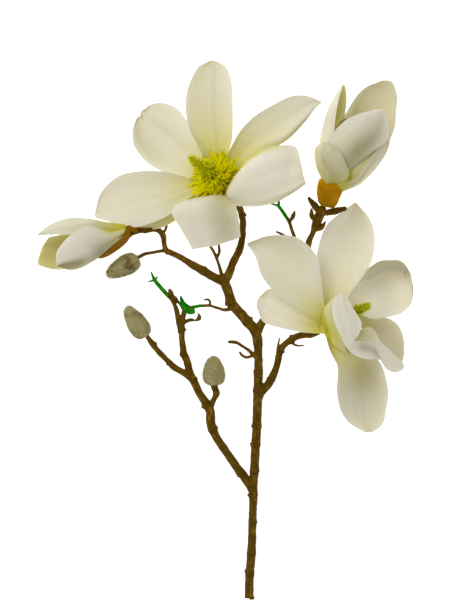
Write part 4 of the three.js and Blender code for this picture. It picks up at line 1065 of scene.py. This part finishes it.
upperBud = {
    "base": (54.5, 263.5, 19), "axis": (0.36, 0.93, 0.05),
    "tepals": {
        "backTall": {
            "left": [
                (53.5, 284.5, 12), (58, 307.5, 10), (66.5, 327.5, 9), (76, 343.5, 12), (84, 350.3, 15),
                (91, 352.8, 17),
            ],
            "right": [
                (66.5, 281, 11), (89, 296.5, 5.5), (101.5, 316.5, 7), (104, 333.5, 10), (104.5, 343.5, 14),
                (102.5, 350.5, 17),
            ],
            "sag": 0.4, "khaki": (0, 0.1), "paintedShades": [(0.55, -0.5, (0.3, 0.6), 0.24)], "blunt": 0.5,
            "wash": (0.17, 0.12),
        },
        "backInner": {
            "left": [
                (53.5, 284.5, 14), (54.5, 303, 9), (58, 313.5, 9), (62.5, 323, 12), (66.5, 326.5, 14),
            ],
            "right": [
                (62.5, 285.5, 14), (74.5, 301, 8), (79, 311.5, 8), (76.5, 321, 11), (69.5, 326.5, 14),
            ],
            "sag": 0.4, "khaki": (0.31, 0.31), "reach": 60, "wash": (0.3, 0.3),
        },
        "leftTall": {
            "left": [
                (53, 283, 22), (54.5, 302, 31), (58, 313.5, 33), (60, 327.5, 33), (63, 340.5, 30),
                (66, 350, 26),
            ],
            "right": [
                (58, 283, 14), (61, 305.5, 13), (64, 318, 12), (67.5, 330.5, 14), (68, 341, 19),
                (67, 349.5, 24),
            ],
            "sag": 0.9, "face": (1, -0.2, 0.6), "khaki": (0.25, 0.05), "wash": (0.5, 0.05),
        },
        "frontLeft": {
            "left": [
                (51.5, 280.5, 19), (47.5, 289.5, 30), (45.5, 298.5, 32), (46, 305.5, 35), (50.5, 309.5, 38),
            ],
            "right": [
                (62, 278, 21), (70, 286, 30), (67, 295, 37), (62.5, 303.5, 41), (56.5, 308.5, 40),
            ],
            "sag": 0.45, "face": (0.3, 0, -1), "khaki": (0.25, 0.3), "ridges": [(-0.2, -1.3, 0.14)],
            "paintedShades": [(0.3, 0, (0.3, 1), 0.45), (0.68, -0.3, (0.1, 0.12), 0.4)],
        },
        "frontBig": {
            "left": [
                (57.5, 279.5, 21), (55, 296.5, 31), (56.5, 311.5, 34), (66, 323.5, 37), (78.5, 329.5, 37),
                (90.5, 332.5, 35),
            ],
            "right": [
                (64, 278.5, 20), (73, 290.5, 26), (86.5, 300.5, 27), (96.5, 310.5, 28), (97.5, 323, 31),
                (94.5, 332, 34),
            ],
            "sag": 0.45, "face": (-0.1, 0.1, -1), "khaki": (0.08, 0.08),
            "paintedShades": [(0.6, 0.25, (0.25, 0.5), 0.65), (0.2, 0, (0.3, 1), 0.4)],
        },
        "lowInner": {
            "left": [(60, 281, 20), (67, 291, 25), (77, 300, 25), (87, 308, 25), (95, 312, 25)],
            "right": [
                (70, 278.6, 23), (79, 283.6, 27), (84.5, 292, 28.5), (90.5, 300.5, 28.5), (97.6, 309.9, 26),
            ],
            "wash": (0.36, 0.36), "khaki": (0.2, 0.2), "reach": 26, "sag": -0.1, "ripple": 0.2,
            "neck": [(0.12, 0.2), (0.5, 0.5)],
        },
        "rightLow": {
            "left": [
                (66, 276.8, 24), (77.5, 282.8, 28), (82.8, 290.4, 30), (87.2, 296.2, 30), (92.6, 303.4, 29),
                (97.7, 310.5, 26),
            ],
            "right": [
                (62.5, 277.5, 13), (72, 284.5, 7), (82.5, 292.5, 5), (90.5, 300.5, 8), (96, 306.5, 14),
                (98.5, 310, 23),
            ],
            "sag": 0.35, "face": (-0.5, 0.6, 0.3), "khaki": (0.15, 0.27), "wash": (0.12, 0.12), "reach": 24,
            "neck": [(0.12, 0.2), (0.5, 0.35), (0.8, 0.7)],
            "rolls": [{"side": -1, "radius": 2.5, "turn": 100, "start": 0.1, "end": 1.1, "up": 1}],
        },
    },
}

leftBud = {
    "base": (-86.5, 245.5, 18), "axis": (-0.98, -0.18, 0.05),
    "tepals": {
        "upper": {
            "left": [
                (-87.5, 252.5, 17), (-100, 254, 16), (-112.5, 256, 16), (-126.5, 257.5, 18), (-139, 253, 20),
                (-148.5, 245, 24),
            ],
            "right": [
                (-89.5, 247.5, 21), (-101, 248, 23), (-112, 250, 26), (-124, 245.5, 28), (-136, 245, 27),
                (-148, 244, 25),
            ],
            "sag": 0.3, "face": (0, -0.7, -0.7), "reach": 20, "khaki": (0.12, 0.12),
            "paintedShades": [(0.3, 0, (0.2, 1.5), 0.39)],
        },
        "front": {
            "left": [
                (-88, 249.5, 26), (-98, 247, 30), (-105.5, 249, 30), (-115.5, 250.5, 30), (-126.5, 243, 31),
                (-134.5, 233, 28), (-135.5, 223.5, 25),
            ],
            "right": [
                (-93.5, 237.5, 22), (-103.5, 230, 18), (-111.5, 225, 14), (-119, 221, 15), (-126.5, 220, 18),
                (-132, 221.5, 21), (-135, 222, 24),
            ],
            "sag": 0.4, "face": (0, 0.4, -1), "reach": 11, "ridges": [(-0.1, 0.9, 0.22)],
            "paintedShades": [
                (0.82, 0.55, (0.24, 0.3), 1.3), (0.38, 0.3, (0.17, 1), 0.85), (0.8, 1, (0.3, 0.4), 0.6),
            ],
            "rims": [(-1, 0.1, 1.2, 0.6)],
        },
        "back": {
            "left": [
                (-91, 248, 14), (-106.5, 251, 11), (-121.5, 248, 11), (-133, 245, 13), (-141, 243.5, 17),
            ],
            "right": [
                (-97.5, 234.5, 12), (-113, 226.5, 8), (-126.5, 221.5, 8), (-138, 220.5, 11),
                (-149, 223.5, 16),
            ],
            "sag": 0.3, "khaki": (0.35, 0.39), "wash": (0.42, 0.42), "blunt": 0.1,
        },
        "under": {
            "left": [
                (-91, 249, 10), (-101.5, 249.5, 5), (-111.5, 249, 3.5), (-122, 247, 5), (-130.5, 242.5, 9),
            ],
            "right": [
                (-97.5, 234.5, 10), (-108, 228.5, 4), (-118, 225, 3.5), (-127, 223.5, 5), (-133, 225.5, 9),
            ],
            "sag": 0.3,
        },
    },
}

# What stands inside each flower, as height and radius along its axis.
hearts = {
    "largeBloom": [(-4, 3.4), (-1.5, 5.6), (1, 6), (2.5, 4.6)],
    "sideBloom": [(-4, 2.8), (-1.5, 4.8), (1, 5.2), (2.5, 4.2)],
    "upperBud": [(15, 5), (18, 7), (23, 9), (28, 10), (34, 8), (41, 4)],
    "leftBud": [(5.5, 3), (9, 5), (14, 7.5), (20, 8.5), (26, 8), (34, 4)],
}


def makeTepals(name, flower, node, material):
    heart = turnedShell(hearts[name], flower["base"], flower["axis"], sides=32, smooth=4)
    heart["values"] = {"glow": np.full(len(heart["points"]), tepalForm["heartGlow"])}
    shells = [heart] + [
        tepalShell(shape, flower["base"], tepalForm["thickness"], tepalForm["rows"], tepalForm["columns"], i)
        for i, shape in enumerate(flower["tepals"].values())
    ]
    declare(makePiece(name + "Tepals", shells, material), "tepal", node)


# The stamens and carpels in the middle of each open flower. Stamens stand on a column between two heights, and
# carpels on a cone above it. taper is how fast the cone narrows, spread the lean of the lowest stamens in
# degrees, hook a carpel's length. The colours are the threads', the painted shade between them and their
# tips'.
flowerHeart = {
    "largeBloom": {
        "radius": 3.8, "from": 0.5, "to": 10, "pistilTop": 42, "taper": 0.7, "stamens": 900,
        "stamenLength": (11, 18), "spread": 95, "carpels": 150, "hook": 6.5,
        "pistil": ("#dcd800", "#a0a400", "#f0e828"),
    },
    "sideBloom": {
        "radius": 4.8, "from": 2.5, "to": 12, "pistilTop": 40, "taper": 0.45, "stamens": 160,
        "stamenLength": (7, 11), "spread": 60, "carpels": 150, "hook": 3.8,
        "pistil": ("#b4b800", "#747e00", "#cccc20"),
    },
}
stamenForm = {
    "width": 1.1, "outline": (0.8, 0.7, 0.8, 1.0, 1.0, 0.85, 0.25), "bend": -5, "topSpread": 0.62,
    "inset": (0.8, 0.6), "ringShares": (0.7, 0.55), "jitter": 0.16, "seed": 3,
    "colours": ("#fff800", "#e6dc00", "#fff400"),
}
carpelForm = {
    "width": 0.95, "outline": (0.9, 1.0, 0.9, 0.7, 0.4), "bend": 1.6, "lean": (1.25, 0.5),
    "coneShare": 0.8, "inset": (1, 1.5), "length": (0.85, 1.1), "topLength": 1.8, "topRadius": 0.45,
    "jitter": 0.2, "seed": 11,
}
threadPattern = {"mottle": 1.9, "fleck": 0.7}


# Points in a golden spiral from low to high, each carrying a strap that leans out from the axis.
# Radius, lean and length change from the lowest to the highest; Base and Turn put the axis in place.
def spiralTree(name, widths, bend):
    tree, given = startTree(name, {
        "Count": ("Int", 50), "Low": ("Float", 0.0), "High": ("Float", 0.01), "Low Radius": ("Float", 0.003),
        "High Radius": ("Float", 0.003), "Low Lean": ("Float", 1.4), "High Lean": ("Float", 0.6),
        "Shortest": ("Float", 0.01), "Longest": ("Float", 0.02), "Top Share": ("Float", 1.0),
        "Width": ("Float", 0.0005), "Jitter": ("Float", 0.1), "Base": ("Vector", None),
        "Turn": ("Rotation", None), "Clear Of": ("Object", None), "Seed": ("Int", 1),
        "Material": ("Material", None),
    })
    points = addNode(tree, "GeometryNodePoints", {"Count": given["Count"]})
    index = addNode(tree, "GeometryNodeInputIndex")
    share = addNode(tree, "ShaderNodeMath", {0: index, 1: given["Count"]}, operation="DIVIDE")
    height, radius, lean, shorter = (
        addNode(tree, "ShaderNodeMapRange", {"Value": share, "To Min": low, "To Max": high})
        for low, high in (
            (given["Low"], given["High"]), (given["Low Radius"], given["High Radius"]),
            (given["Low Lean"], given["High Lean"]), (1.0, given["Top Share"]),
        )
    )
    tipping, stretch, thickness, drift = (
        addNode(tree, "FunctionNodeRandomValue", {
            "Min": low, "Max": high,
            "Seed": addNode(tree, "ShaderNodeMath", {0: given["Seed"], 1: salt}, operation="ADD"),
        }, data_type="FLOAT")
        for salt, low, high in (
            (1, -1.0, 1.0), (2, given["Shortest"], given["Longest"]), (3, 0.75, 1.2), (4, -0.25, 0.25),
        )
    )
    angle = addNode(tree, "ShaderNodeMath", {0: index, 1: goldenAngle, 2: drift}, operation="MULTIPLY_ADD")
    out = addNode(tree, "ShaderNodeCombineXYZ", {"X": radius, "Z": height})
    spot = addNode(tree, "ShaderNodeVectorRotate", {"Vector": out, "Angle": angle}, rotation_type="Z_AXIS")
    placed = addNode(tree, "GeometryNodeSetPosition", {"Geometry": points, "Position": spot})
    leaning = addNode(tree, "ShaderNodeMath", {
        0: tipping, 1: given["Jitter"], 2: lean,
    }, operation="MULTIPLY_ADD")
    tilt = addNode(tree, "ShaderNodeCombineXYZ", {"Y": leaning, "Z": angle})
    rotation = addNode(tree, "FunctionNodeEulerToRotation", {0: tilt})
    length = addNode(tree, "ShaderNodeMath", {0: stretch, 1: shorter}, operation="MULTIPLY")
    width = addNode(tree, "ShaderNodeMath", {0: thickness, 1: given["Width"]}, operation="MULTIPLY")
    scale = addNode(tree, "ShaderNodeCombineXYZ", {"X": width, "Y": width, "Z": length})
    # leave out any that would run through a tepal
    way = addNode(tree, "FunctionNodeRotateVector", {"Vector": (0, 0, 1), "Rotation": rotation})
    aim = addNode(tree, "FunctionNodeRotateVector", {"Vector": way, "Rotation": given["Turn"]})
    origin = addNode(tree, "FunctionNodeRotateVector", {"Vector": spot, "Rotation": given["Turn"]})
    start = addNode(tree, "ShaderNodeVectorMath", {0: origin, 1: given["Base"]}, operation="ADD")
    walls = addNode(tree, "GeometryNodeObjectInfo", {"Object": given["Clear Of"]}).outputs["Geometry"]
    struck = addNode(tree, "GeometryNodeRaycast", {
        "Target Geometry": walls, "Source Position": start, "Ray Direction": aim, "Ray Length": length,
    })
    kept = addNode(tree, "GeometryNodeDeleteGeometry", {
        "Geometry": placed, "Selection": struck,
    }, domain="POINT")
    copies = addNode(tree, "GeometryNodeInstanceOnPoints", {
        "Points": kept, "Instance": strap(tree, widths, bend, 5), "Rotation": rotation, "Scale": scale,
    })
    both = addNode(tree, "GeometryNodeJoinGeometry", {0: [copies, given["Geometry"]]})
    real = addNode(tree, "GeometryNodeRealizeInstances", {"Geometry": both})
    moved = addNode(tree, "GeometryNodeTransform", {
        "Geometry": real, "Translation": given["Base"], "Rotation": given["Turn"],
    })
    return endTree(tree, moved, given["Material"])


# A strap one unit long with the widths given along it, bent sideways by bend times its width.
def strap(tree, widths, bend, sides):
    line = addNode(tree, "GeometryNodeCurvePrimitiveBezierSegment", {
        "Resolution": len(widths) - 1, "Start": (0, 0, 0), "Start Handle": (0, 0, 0.35),
        "End Handle": (bend * 0.3, 0, 0.7), "End": (bend, 0, 1),
    }, mode="POSITION")
    along = addNode(tree, "GeometryNodeSplineParameter").outputs["Factor"]
    taper = addNode(tree, "ShaderNodeFloatCurve", {"Value": along})
    points = taper.mapping.curves[0].points
    points[0].location, points[-1].location = (0, widths[0]), (1, widths[-1])
    for i, width in enumerate(widths[1:-1], 1):
        points.new(i / (len(widths) - 1), width)
    taper.mapping.update()
    ring = addNode(tree, "GeometryNodeCurvePrimitiveCircle", {"Resolution": sides, "Radius": 0.5})
    mesh = addNode(tree, "GeometryNodeCurveToMesh", {
        "Curve": line, "Profile Curve": ring, "Scale": taper, "Fill Caps": True,
    })
    position = addNode(tree, "GeometryNodeInputPosition")
    height = addNode(tree, "ShaderNodeSeparateXYZ", {0: position}).outputs["Z"]
    rise = addNode(tree, "GeometryNodeStoreNamedAttribute", {
        "Geometry": mesh, "Name": "rise", "Value": height,
    }, data_type="FLOAT", domain="POINT")
    return addNode(tree, "GeometryNodeSetShadeSmooth", {"Geometry": rise})


# Soft moulded plastic threads: bright yellow green with a faint gloss, darkened with painted shade at the foot
# and in patches between them, paler at the tips.
def threadPlastic(name, colours):
    material, tree = startMaterial(name)
    rise = addNode(tree, "ShaderNodeAttribute", attribute_name="rise").outputs["Fac"]
    place = addNode(tree, "ShaderNodeTexCoord").outputs["Object"]
    mottle, fleck = (
        addNode(tree, "ShaderNodeTexNoise", {"Vector": place, "Scale": 1 / (size * mm), "Detail": 3})
        for size in threadPattern.values()
    )
    named = dict(zip(("thread", "between", "tip"), colours))
    # between is painted shade: it darkens the threads at their foot and in patches among them
    plastic = addNode(tree, "ShaderNodeBsdfPrincipled", {
        "Base Color": layColours(tree, named, "between", [
            (mottle, 0.35, 0.65, 0.0, 1.0, "thread"), (rise, 0.05, 0.4, 0.7, 0.0, "between"),
            (rise, 0.7, 1.0, 0.0, 0.8, "tip"),
        ]),
        "Roughness": 0.5, "IOR": 1.5, "Specular IOR Level": 0.08, "Subsurface Weight": 0.4,
        "Subsurface Radius": (1, 1, 0.1), "Subsurface Scale": 2 * mm,
        "Normal": addNode(tree, "ShaderNodeBump", {"Height": fleck, "Strength": 0.25, "Distance": 0.2 * mm}),
    })
    addNode(tree, "ShaderNodeOutputMaterial", {"Surface": plastic})
    return material


def turnTo(axis):
    return Vector(axis).to_track_quat("Z", "Y").to_euler()


def makeHeart(name, flower, prefix):
    form = flowerHeart[name]
    radius, low, high, top = (form[key] for key in ("radius", "from", "to", "pistilTop"))
    upright = ((0, 0, 0), (0, 0, 1))
    shared = {
        "Base": Vector(flower["base"]) * mm, "Turn": turnTo(flower["axis"]),
        "Clear Of": bpy.data.objects[name + "Tepals"],
    }
    rows = [(low, radius * 0.4), (low + 0.6, radius * 0.9), (high - 2, radius * 0.85), (high, radius * 0.4)]
    column = makePiece("column", [turnedShell(rows, *upright, sides=24)], None)
    fan = spiralTree(name + "StamenFan", stamenForm["outline"], stamenForm["bend"])
    shortest, longest = form["stamenLength"]
    lowInset, highInset = stamenForm["inset"]
    lowShare, highShare = stamenForm["ringShares"]
    stamens = grow(column, fan, {
        **shared, "Count": form["stamens"], "Low": (low + lowInset) * mm, "High": (high - highInset) * mm,
        "Low Radius": radius * lowShare * mm, "High Radius": radius * highShare * mm,
        "Low Lean": math.radians(form["spread"]),
        "High Lean": math.radians(form["spread"] * stamenForm["topSpread"]),
        "Shortest": shortest * mm, "Longest": longest * mm,
        "Width": stamenForm["width"] * mm, "Jitter": stamenForm["jitter"], "Seed": stamenForm["seed"],
        "Material": threadPlastic("stamenThreadPlastic", stamenForm["colours"]),
    }, name + "Stamens")
    declare(stamens, "stamen", prefix + "_stamens")
    coneRadius = radius * carpelForm["coneShare"]
    rows = [
        (high + share * (top - high), coneRadius * (1 - share) ** form["taper"] + 0.4)
        for share in (0, 0.15, 0.35, 0.6, 0.8, 0.93)
    ]
    cone = makePiece("cone", [turnedShell(rows + [(top, 0.25)], *upright, sides=24)], None)
    spiral = spiralTree(name + "CarpelSpiral", carpelForm["outline"], carpelForm["bend"])
    shortest, longest = carpelForm["length"]
    lowLean, highLean = carpelForm["lean"]
    lowInset, highInset = carpelForm["inset"]
    carpels = grow(cone, spiral, {
        **shared, "Count": form["carpels"], "Low": (high + lowInset) * mm, "High": (top - highInset) * mm,
        "Low Radius": coneRadius * mm, "High Radius": carpelForm["topRadius"] * mm,
        "Low Lean": lowLean, "High Lean": highLean,
        "Shortest": form["hook"] * shortest * mm, "Longest": form["hook"] * longest * mm,
        "Top Share": carpelForm["topLength"] / form["hook"],
        "Width": carpelForm["width"] * mm, "Jitter": carpelForm["jitter"], "Seed": carpelForm["seed"],
        "Material": threadPlastic("pistilMouldedPlastic", form["pistil"]),
    }, name + "Pistil")
    declare(carpels, "pistil", prefix + "_pistil")


# The scales at the foot of each flower bud; ripeness is how soon the brown of the foot gives way to orange.
budScales = {
    "upperBud": {
        "axis": (0.15, 0.99, 0.05), "ripeness": 1.5, "seed": 8,
        "rows": [(1, 4.6), (3.5, 6.6), (7.5, 7.8), (11.5, 8.7), (15.5, 8.9), (19.5, 7.8), (22, 4)],
    },
    "leftBud": {
        "axis": (-0.98, -0.18, 0.05), "ripeness": 0.25, "seed": 7,
        "rows": [(-3, 2.8), (0, 3.6), (3, 4.6), (6, 5.2)],
    },
    "sideScale": {
        "left": [
            (-78, 248, 20), (-85, 251, 25), (-87.5, 244.5, 28), (-93, 238, 27), (-100, 232.5, 24),
            (-106, 229, 19),
        ],
        "right": [
            (-78.5, 246.5, 14), (-83.5, 245, 9), (-88.5, 240.5, 5), (-95, 236.5, 4), (-100.5, 232, 8),
            (-105.5, 228.5, 16),
        ],
        "sag": 0.22, "face": (-0.5, 0.8, 0),
    },
    "thickness": 1.2, "lumps": 0.7, "fuzzLength": 0.35, "fuzzWidth": 0.09, "fuzzDensity": 1.5, "fuzzLie": 1.2,
    "fuzzSeed": 5, "cloud": 7.7, "fuzz": 0.7,
    "colour": "#d49a00", "dark": "#b07c00", "light": "#d8a21c", "brown": "#8a6004",
}


# Short or long hairs lying towards the tip of what they grow on.
def hairTree():
    tree, given = startTree("lyingHairs", {
        "Density": ("Float", 2000000.0), "Length": ("Float", 0.001), "Width": ("Float", 0.0001),
        "Lie": ("Float", 0.6), "Towards": ("Vector", None), "Seed": ("Int", 1),
        "Material": ("Material", None),
    })
    spots = addNode(tree, "GeometryNodeDistributePointsOnFaces", {
        "Mesh": given["Geometry"], "Density": given["Density"], "Seed": given["Seed"],
    }, distribute_method="RANDOM")
    lie = addNode(tree, "ShaderNodeVectorMath", {
        0: given["Towards"], 1: addNode(tree, "ShaderNodeCombineXYZ", dict.fromkeys("XYZ", given["Lie"])),
        2: spots.outputs["Normal"],
    }, operation="MULTIPLY_ADD")
    stray = addNode(tree, "FunctionNodeRandomValue", {
        "Min": (-0.3, -0.3, -0.3), "Max": (0.3, 0.3, 0.3), "Seed": given["Seed"],
    }, data_type="FLOAT_VECTOR")
    way = addNode(tree, "ShaderNodeVectorMath", {0: lie, 1: stray}, operation="ADD")
    rotation = addNode(tree, "FunctionNodeAlignRotationToVector", {"Vector": way}, axis="Z")
    uneven = addNode(tree, "FunctionNodeRandomValue", {
        "Min": 0.6, "Max": 1.2, "Seed": given["Seed"],
    }, data_type="FLOAT")
    length = addNode(tree, "ShaderNodeMath", {0: uneven, 1: given["Length"]}, operation="MULTIPLY")
    scale = addNode(tree, "ShaderNodeCombineXYZ", {"X": given["Width"], "Y": given["Width"], "Z": length})
    hairs = addNode(tree, "GeometryNodeInstanceOnPoints", {
        "Points": spots, "Instance": strap(tree, (1, 0.8, 0.2), 1.5, 3), "Rotation": rotation, "Scale": scale,
    })
    both = addNode(tree, "GeometryNodeJoinGeometry", {0: [given["Geometry"], hairs]})
    return endTree(tree, both, given["Material"])


# Flocked bud scale: orange brown with a velvety edge, tiny hairs catching the light and darker streaks.
def flockedScale():
    material, tree = startMaterial("flockedBudScale")
    place = addNode(tree, "ShaderNodeTexCoord").outputs["Object"]
    ripe = addNode(tree, "ShaderNodeAttribute", attribute_name="rise").outputs["Fac"]
    clouds = addNode(tree, "ShaderNodeTexNoise", {
        "Vector": place, "Scale": 1 / (budScales["cloud"] * mm), "Detail": 4,
    })
    fuzz = addNode(tree, "ShaderNodeTexNoise", {
        "Vector": place, "Scale": 1 / (budScales["fuzz"] * mm), "Detail": 3,
    })
    flock = addNode(tree, "ShaderNodeBsdfPrincipled", {
        "Base Color": layColours(tree, budScales, "dark", [
            (clouds, 0.35, 0.65, 0.0, 1.0, "colour"), (fuzz, 0.5, 0.75, 0.0, 0.6, "light"),
            (ripe, 0.0, 0.5, 0.85, 0.0, "brown"),
        ]),
        "Roughness": 0.8, "Specular IOR Level": 0.05, "Sheen Weight": 0.15, "Sheen Roughness": 0.45,
        "Sheen Tint": "#c98a20",
        "Normal": addNode(tree, "ShaderNodeBump", {"Height": fuzz, "Strength": 0.5, "Distance": 0.3 * mm}),
    })
    addNode(tree, "ShaderNodeOutputMaterial", {"Surface": flock})
    return material


def makeScales():
    material = flockedScale()
    hairs = hairTree()
    for name, flower, node in (
        ("upperBud", upperBud, "upper_bud_scale_cup"), ("leftBud", leftBud, "left_bud_scale_cup"),
    ):
        form = budScales[name]
        lumps, seed = budScales["lumps"], form["seed"]
        cup = turnedShell(form["rows"], flower["base"], form["axis"], lumps=lumps, seed=seed)
        cup["values"]["rise"] *= form["ripeness"]
        shells = [cup]
        if name == "leftBud":
            scale = budScales["sideScale"]
            shells.append(tepalShell(scale, None, budScales["thickness"], rows=30, columns=20, index=2))
        cupPiece = grow(makePiece("cup", shells, None), hairs, {
            "Density": budScales["fuzzDensity"] / mm**2, "Length": budScales["fuzzLength"] * mm,
            "Width": budScales["fuzzWidth"] * mm, "Lie": budScales["fuzzLie"],
            "Towards": Vector(form["axis"]), "Seed": budScales["fuzzSeed"], "Material": material,
        }, name + "ScaleCup")
        declare(cupPiece, "bud_scale", node)


# The furry leaf buds; bare is how much brown skin shows through the fur.
furryBuds = {
    "furryBudUpper": {
        "foot": (-77.8, 228.3, 8.5), "tip": (-99.5, 217.2, 8.5), "diameter": 14, "bare": 0.85,
        "node": "furry_bud_upper",
    },
    "furryBudLeft": {
        "foot": (-73, 172.8, 7.5), "tip": (-86.2, 193, 9), "diameter": 14.5, "bare": 0.5,
        "node": "furry_bud_left",
    },
    "furryBudMiddle": {
        "foot": (-24.5, 138.5, 9), "tip": (-25.5, 158, 9), "diameter": 15.5, "bare": 0.15,
        "node": "furry_bud_middle",
    },
}
# profile is height and width as shares of a bud's length and width, inset the room that its hairs take up.
furForm = {
    "profile": [
        (0, 0.42), (0.08, 0.78), (0.2, 0.97), (0.35, 1), (0.55, 0.92), (0.75, 0.75), (0.9, 0.55), (1, 0.3),
    ],
    "start": 0.3, "inset": 0.5, "lumps": 0.5, "length": 1.5, "width": 0.16, "density": 4, "lie": 1.2,
    "seed": 11, "cloud": 6.2, "strand": 0.8, "pale": "#d6ce9e", "grey": "#aaa066", "brown": "#86682c",
}


# Silky flock fur: pale grey hairs over an olive skin, soft and matt with a light bloom at the edge.
def silkyFur(name, bare):
    material, tree = startMaterial(name)
    place = addNode(tree, "ShaderNodeTexCoord").outputs["Object"]
    clouds = addNode(tree, "ShaderNodeTexNoise", {
        "Vector": place, "Scale": 1 / (furForm["cloud"] * mm), "Detail": 4,
    })
    strands = addNode(tree, "ShaderNodeTexNoise", {
        "Vector": place, "Scale": 1 / (furForm["strand"] * mm), "Detail": 2,
    })
    fur = addNode(tree, "ShaderNodeBsdfPrincipled", {
        "Base Color": layColours(tree, furForm, "grey", [
            (strands, 0.38, 0.62, 0.0, 1.0, "pale"), (clouds, 0.5, 0.64, 0.0, bare, "brown"),
        ]),
        "Roughness": 0.85, "Specular IOR Level": 0.1, "Sheen Weight": 0.2, "Sheen Roughness": 0.5,
        "Sheen Tint": "#c9c49a",
        "Normal": addNode(tree, "ShaderNodeBump", {"Height": strands, "Strength": 0.3, "Distance": 0.2 * mm}),
    })
    addNode(tree, "ShaderNodeOutputMaterial", {"Surface": fur})
    return material


def makeFurryBuds():
    hairs = hairTree()
    for i, (name, bud) in enumerate(furryBuds.items()):
        way = Vector(bud["tip"]) - Vector(bud["foot"])
        rows = [
            (furForm["start"] + height * way.length, width * bud["diameter"] / 2 - furForm["inset"])
            for height, width in furForm["profile"]
        ]
        body = turnedShell(rows, bud["foot"], way, sides=40, lumps=furForm["lumps"], seed=i * 3.3, smooth=4)
        furry = grow(makePiece("body", [body], None), hairs, {
            "Density": furForm["density"] / mm**2, "Length": furForm["length"] * mm,
            "Width": furForm["width"] * mm, "Lie": furForm["lie"], "Towards": way.normalized(),
            "Seed": furForm["seed"] + i,
            "Material": silkyFur(name + "SilkyFlock", bud["bare"]),
        }, name)
        declare(furry, "fur", bud["node"])


# The green shoots.
greenShoots = {
    "greenShootLeft": {
        "node": "green_shoot_left",
        "limbs": [
            [
                (-57.5, 202.5, 11, 2.7), (-62.5, 208, 11.5, 2.7), (-66.5, 213, 12, 2.4),
                (-69, 218.5, 12.5, 0.8),
            ],
            [(-66.5, 213, 12, 1.5), (-71, 212, 12.5, 0.7)],
            [(-66, 213.5, 12, 1.4), (-64.5, 215.5, 12.5, 0.7)],
        ],
        "leaves": [],
    },
    "greenShootMiddle": {
        "node": "green_shoot_middle",
        "limbs": [[(-34, 195, 9.5, 2), (-37, 194.5, 11, 2.1), (-41.5, 193.5, 13, 2.4)]],
        "leaves": [
            {
                "left": [(-41, 194.5, 13), (-44.5, 197, 14), (-46.8, 200.5, 15), (-48, 202, 15)],
                "right": [(-43.5, 191, 13), (-48, 194.5, 14), (-48.8, 199, 15), (-48.6, 201.8, 15)],
            },
            {
                "left": [(-46.5, 194.5, 14), (-42.5, 195, 14), (-38.3, 192.8, 13)],
                "right": [(-45.8, 190, 14), (-41.7, 188.9, 14), (-38, 189.4, 13)],
            },
        ],
    },
    "greenShootUpper": {
        "node": "green_shoot_upper",
        "limbs": [
            [(26.5, 257, 13, 2.2), (23.5, 261.5, 13.5, 2.2), (20.5, 265.5, 14, 2.1)],
            [(20.8, 265, 14, 1.7), (21, 271.5, 15, 1.4)],
            [(20.8, 265.2, 14, 1.4), (17, 266.5, 14.5, 1.1), (12, 267.5, 15, 0.7)],
        ],
        "leaves": [],
    },
}
shootForm = {
    "voxel": 0.3, "thickness": 0.9, "cloud": 3.8, "spot": 2.4,
    "green": "#0ca400", "dark": "#067600", "red": "#9a3a10",
}


# Young shoot in dyed moulded plastic: saturated green with a slight shine, reddish where leaf scars were.
def shootGreen():
    material, tree = startMaterial("dyedGreenShoot")
    place = addNode(tree, "ShaderNodeTexCoord").outputs["Object"]
    clouds = addNode(tree, "ShaderNodeTexNoise", {
        "Vector": place, "Scale": 1 / (shootForm["cloud"] * mm), "Detail": 4,
    })
    spots = addNode(tree, "ShaderNodeTexNoise", {
        "Vector": place, "Scale": 1 / (shootForm["spot"] * mm), "Detail": 1,
    })
    plastic = addNode(tree, "ShaderNodeBsdfPrincipled", {
        "Base Color": layColours(tree, shootForm, "dark", [
            (clouds, 0.4, 0.65, 0.0, 1.0, "green"), (spots, 0.64, 0.72, 0.0, 0.7, "red"),
        ]),
        "Roughness": 0.45, "Specular IOR Level": 0.1, "Subsurface Weight": 0.1, "Subsurface Scale": 1 * mm,
        "Normal": addNode(tree, "ShaderNodeBump", {"Height": clouds, "Strength": 0.4, "Distance": 0.3 * mm}),
    })
    addNode(tree, "ShaderNodeOutputMaterial", {"Surface": plastic})
    return material


def makeShoots():
    material = shootGreen()
    tubes = tubeTree()
    for name, shoot in greenShoots.items():
        lines = lineObject("stemLines", [limbPath(rows) for rows in shoot["limbs"]])
        stems = grow(lines, tubes, {"Sides": 12, "Material": material}, name, remesh=shootForm["voxel"])
        shells = [
            tepalShell(leaf, None, shootForm["thickness"], rows=18, columns=12, index=i)
            for i, leaf in enumerate(shoot["leaves"])
        ]
        if shells:
            leaves = makePiece("leaves", shells, material)
            with bpy.context.temp_override(active_object=stems, selected_editable_objects=[stems, leaves]):
                bpy.ops.object.join()
        stems.data.polygons.foreach_set("use_smooth", [True] * len(stems.data.polygons))
        declare(stems, "shoot", shoot["node"])


makeStudio()
makeBranch()
tepalMaterial = waxyTepal()
for flowerName, flower, node in (
    ("largeBloom", largeBloom, "large_bloom_tepals"), ("sideBloom", sideBloom, "side_bloom_tepals"),
    ("upperBud", upperBud, "upper_bud_tepals"), ("leftBud", leftBud, "left_bud_tepals"),
):
    makeTepals(flowerName, flower, node, tepalMaterial)
makeHeart("largeBloom", largeBloom, "large_bloom")
makeHeart("sideBloom", sideBloom, "side_bloom")
makeScales()
makeFurryBuds()
makeShoots()
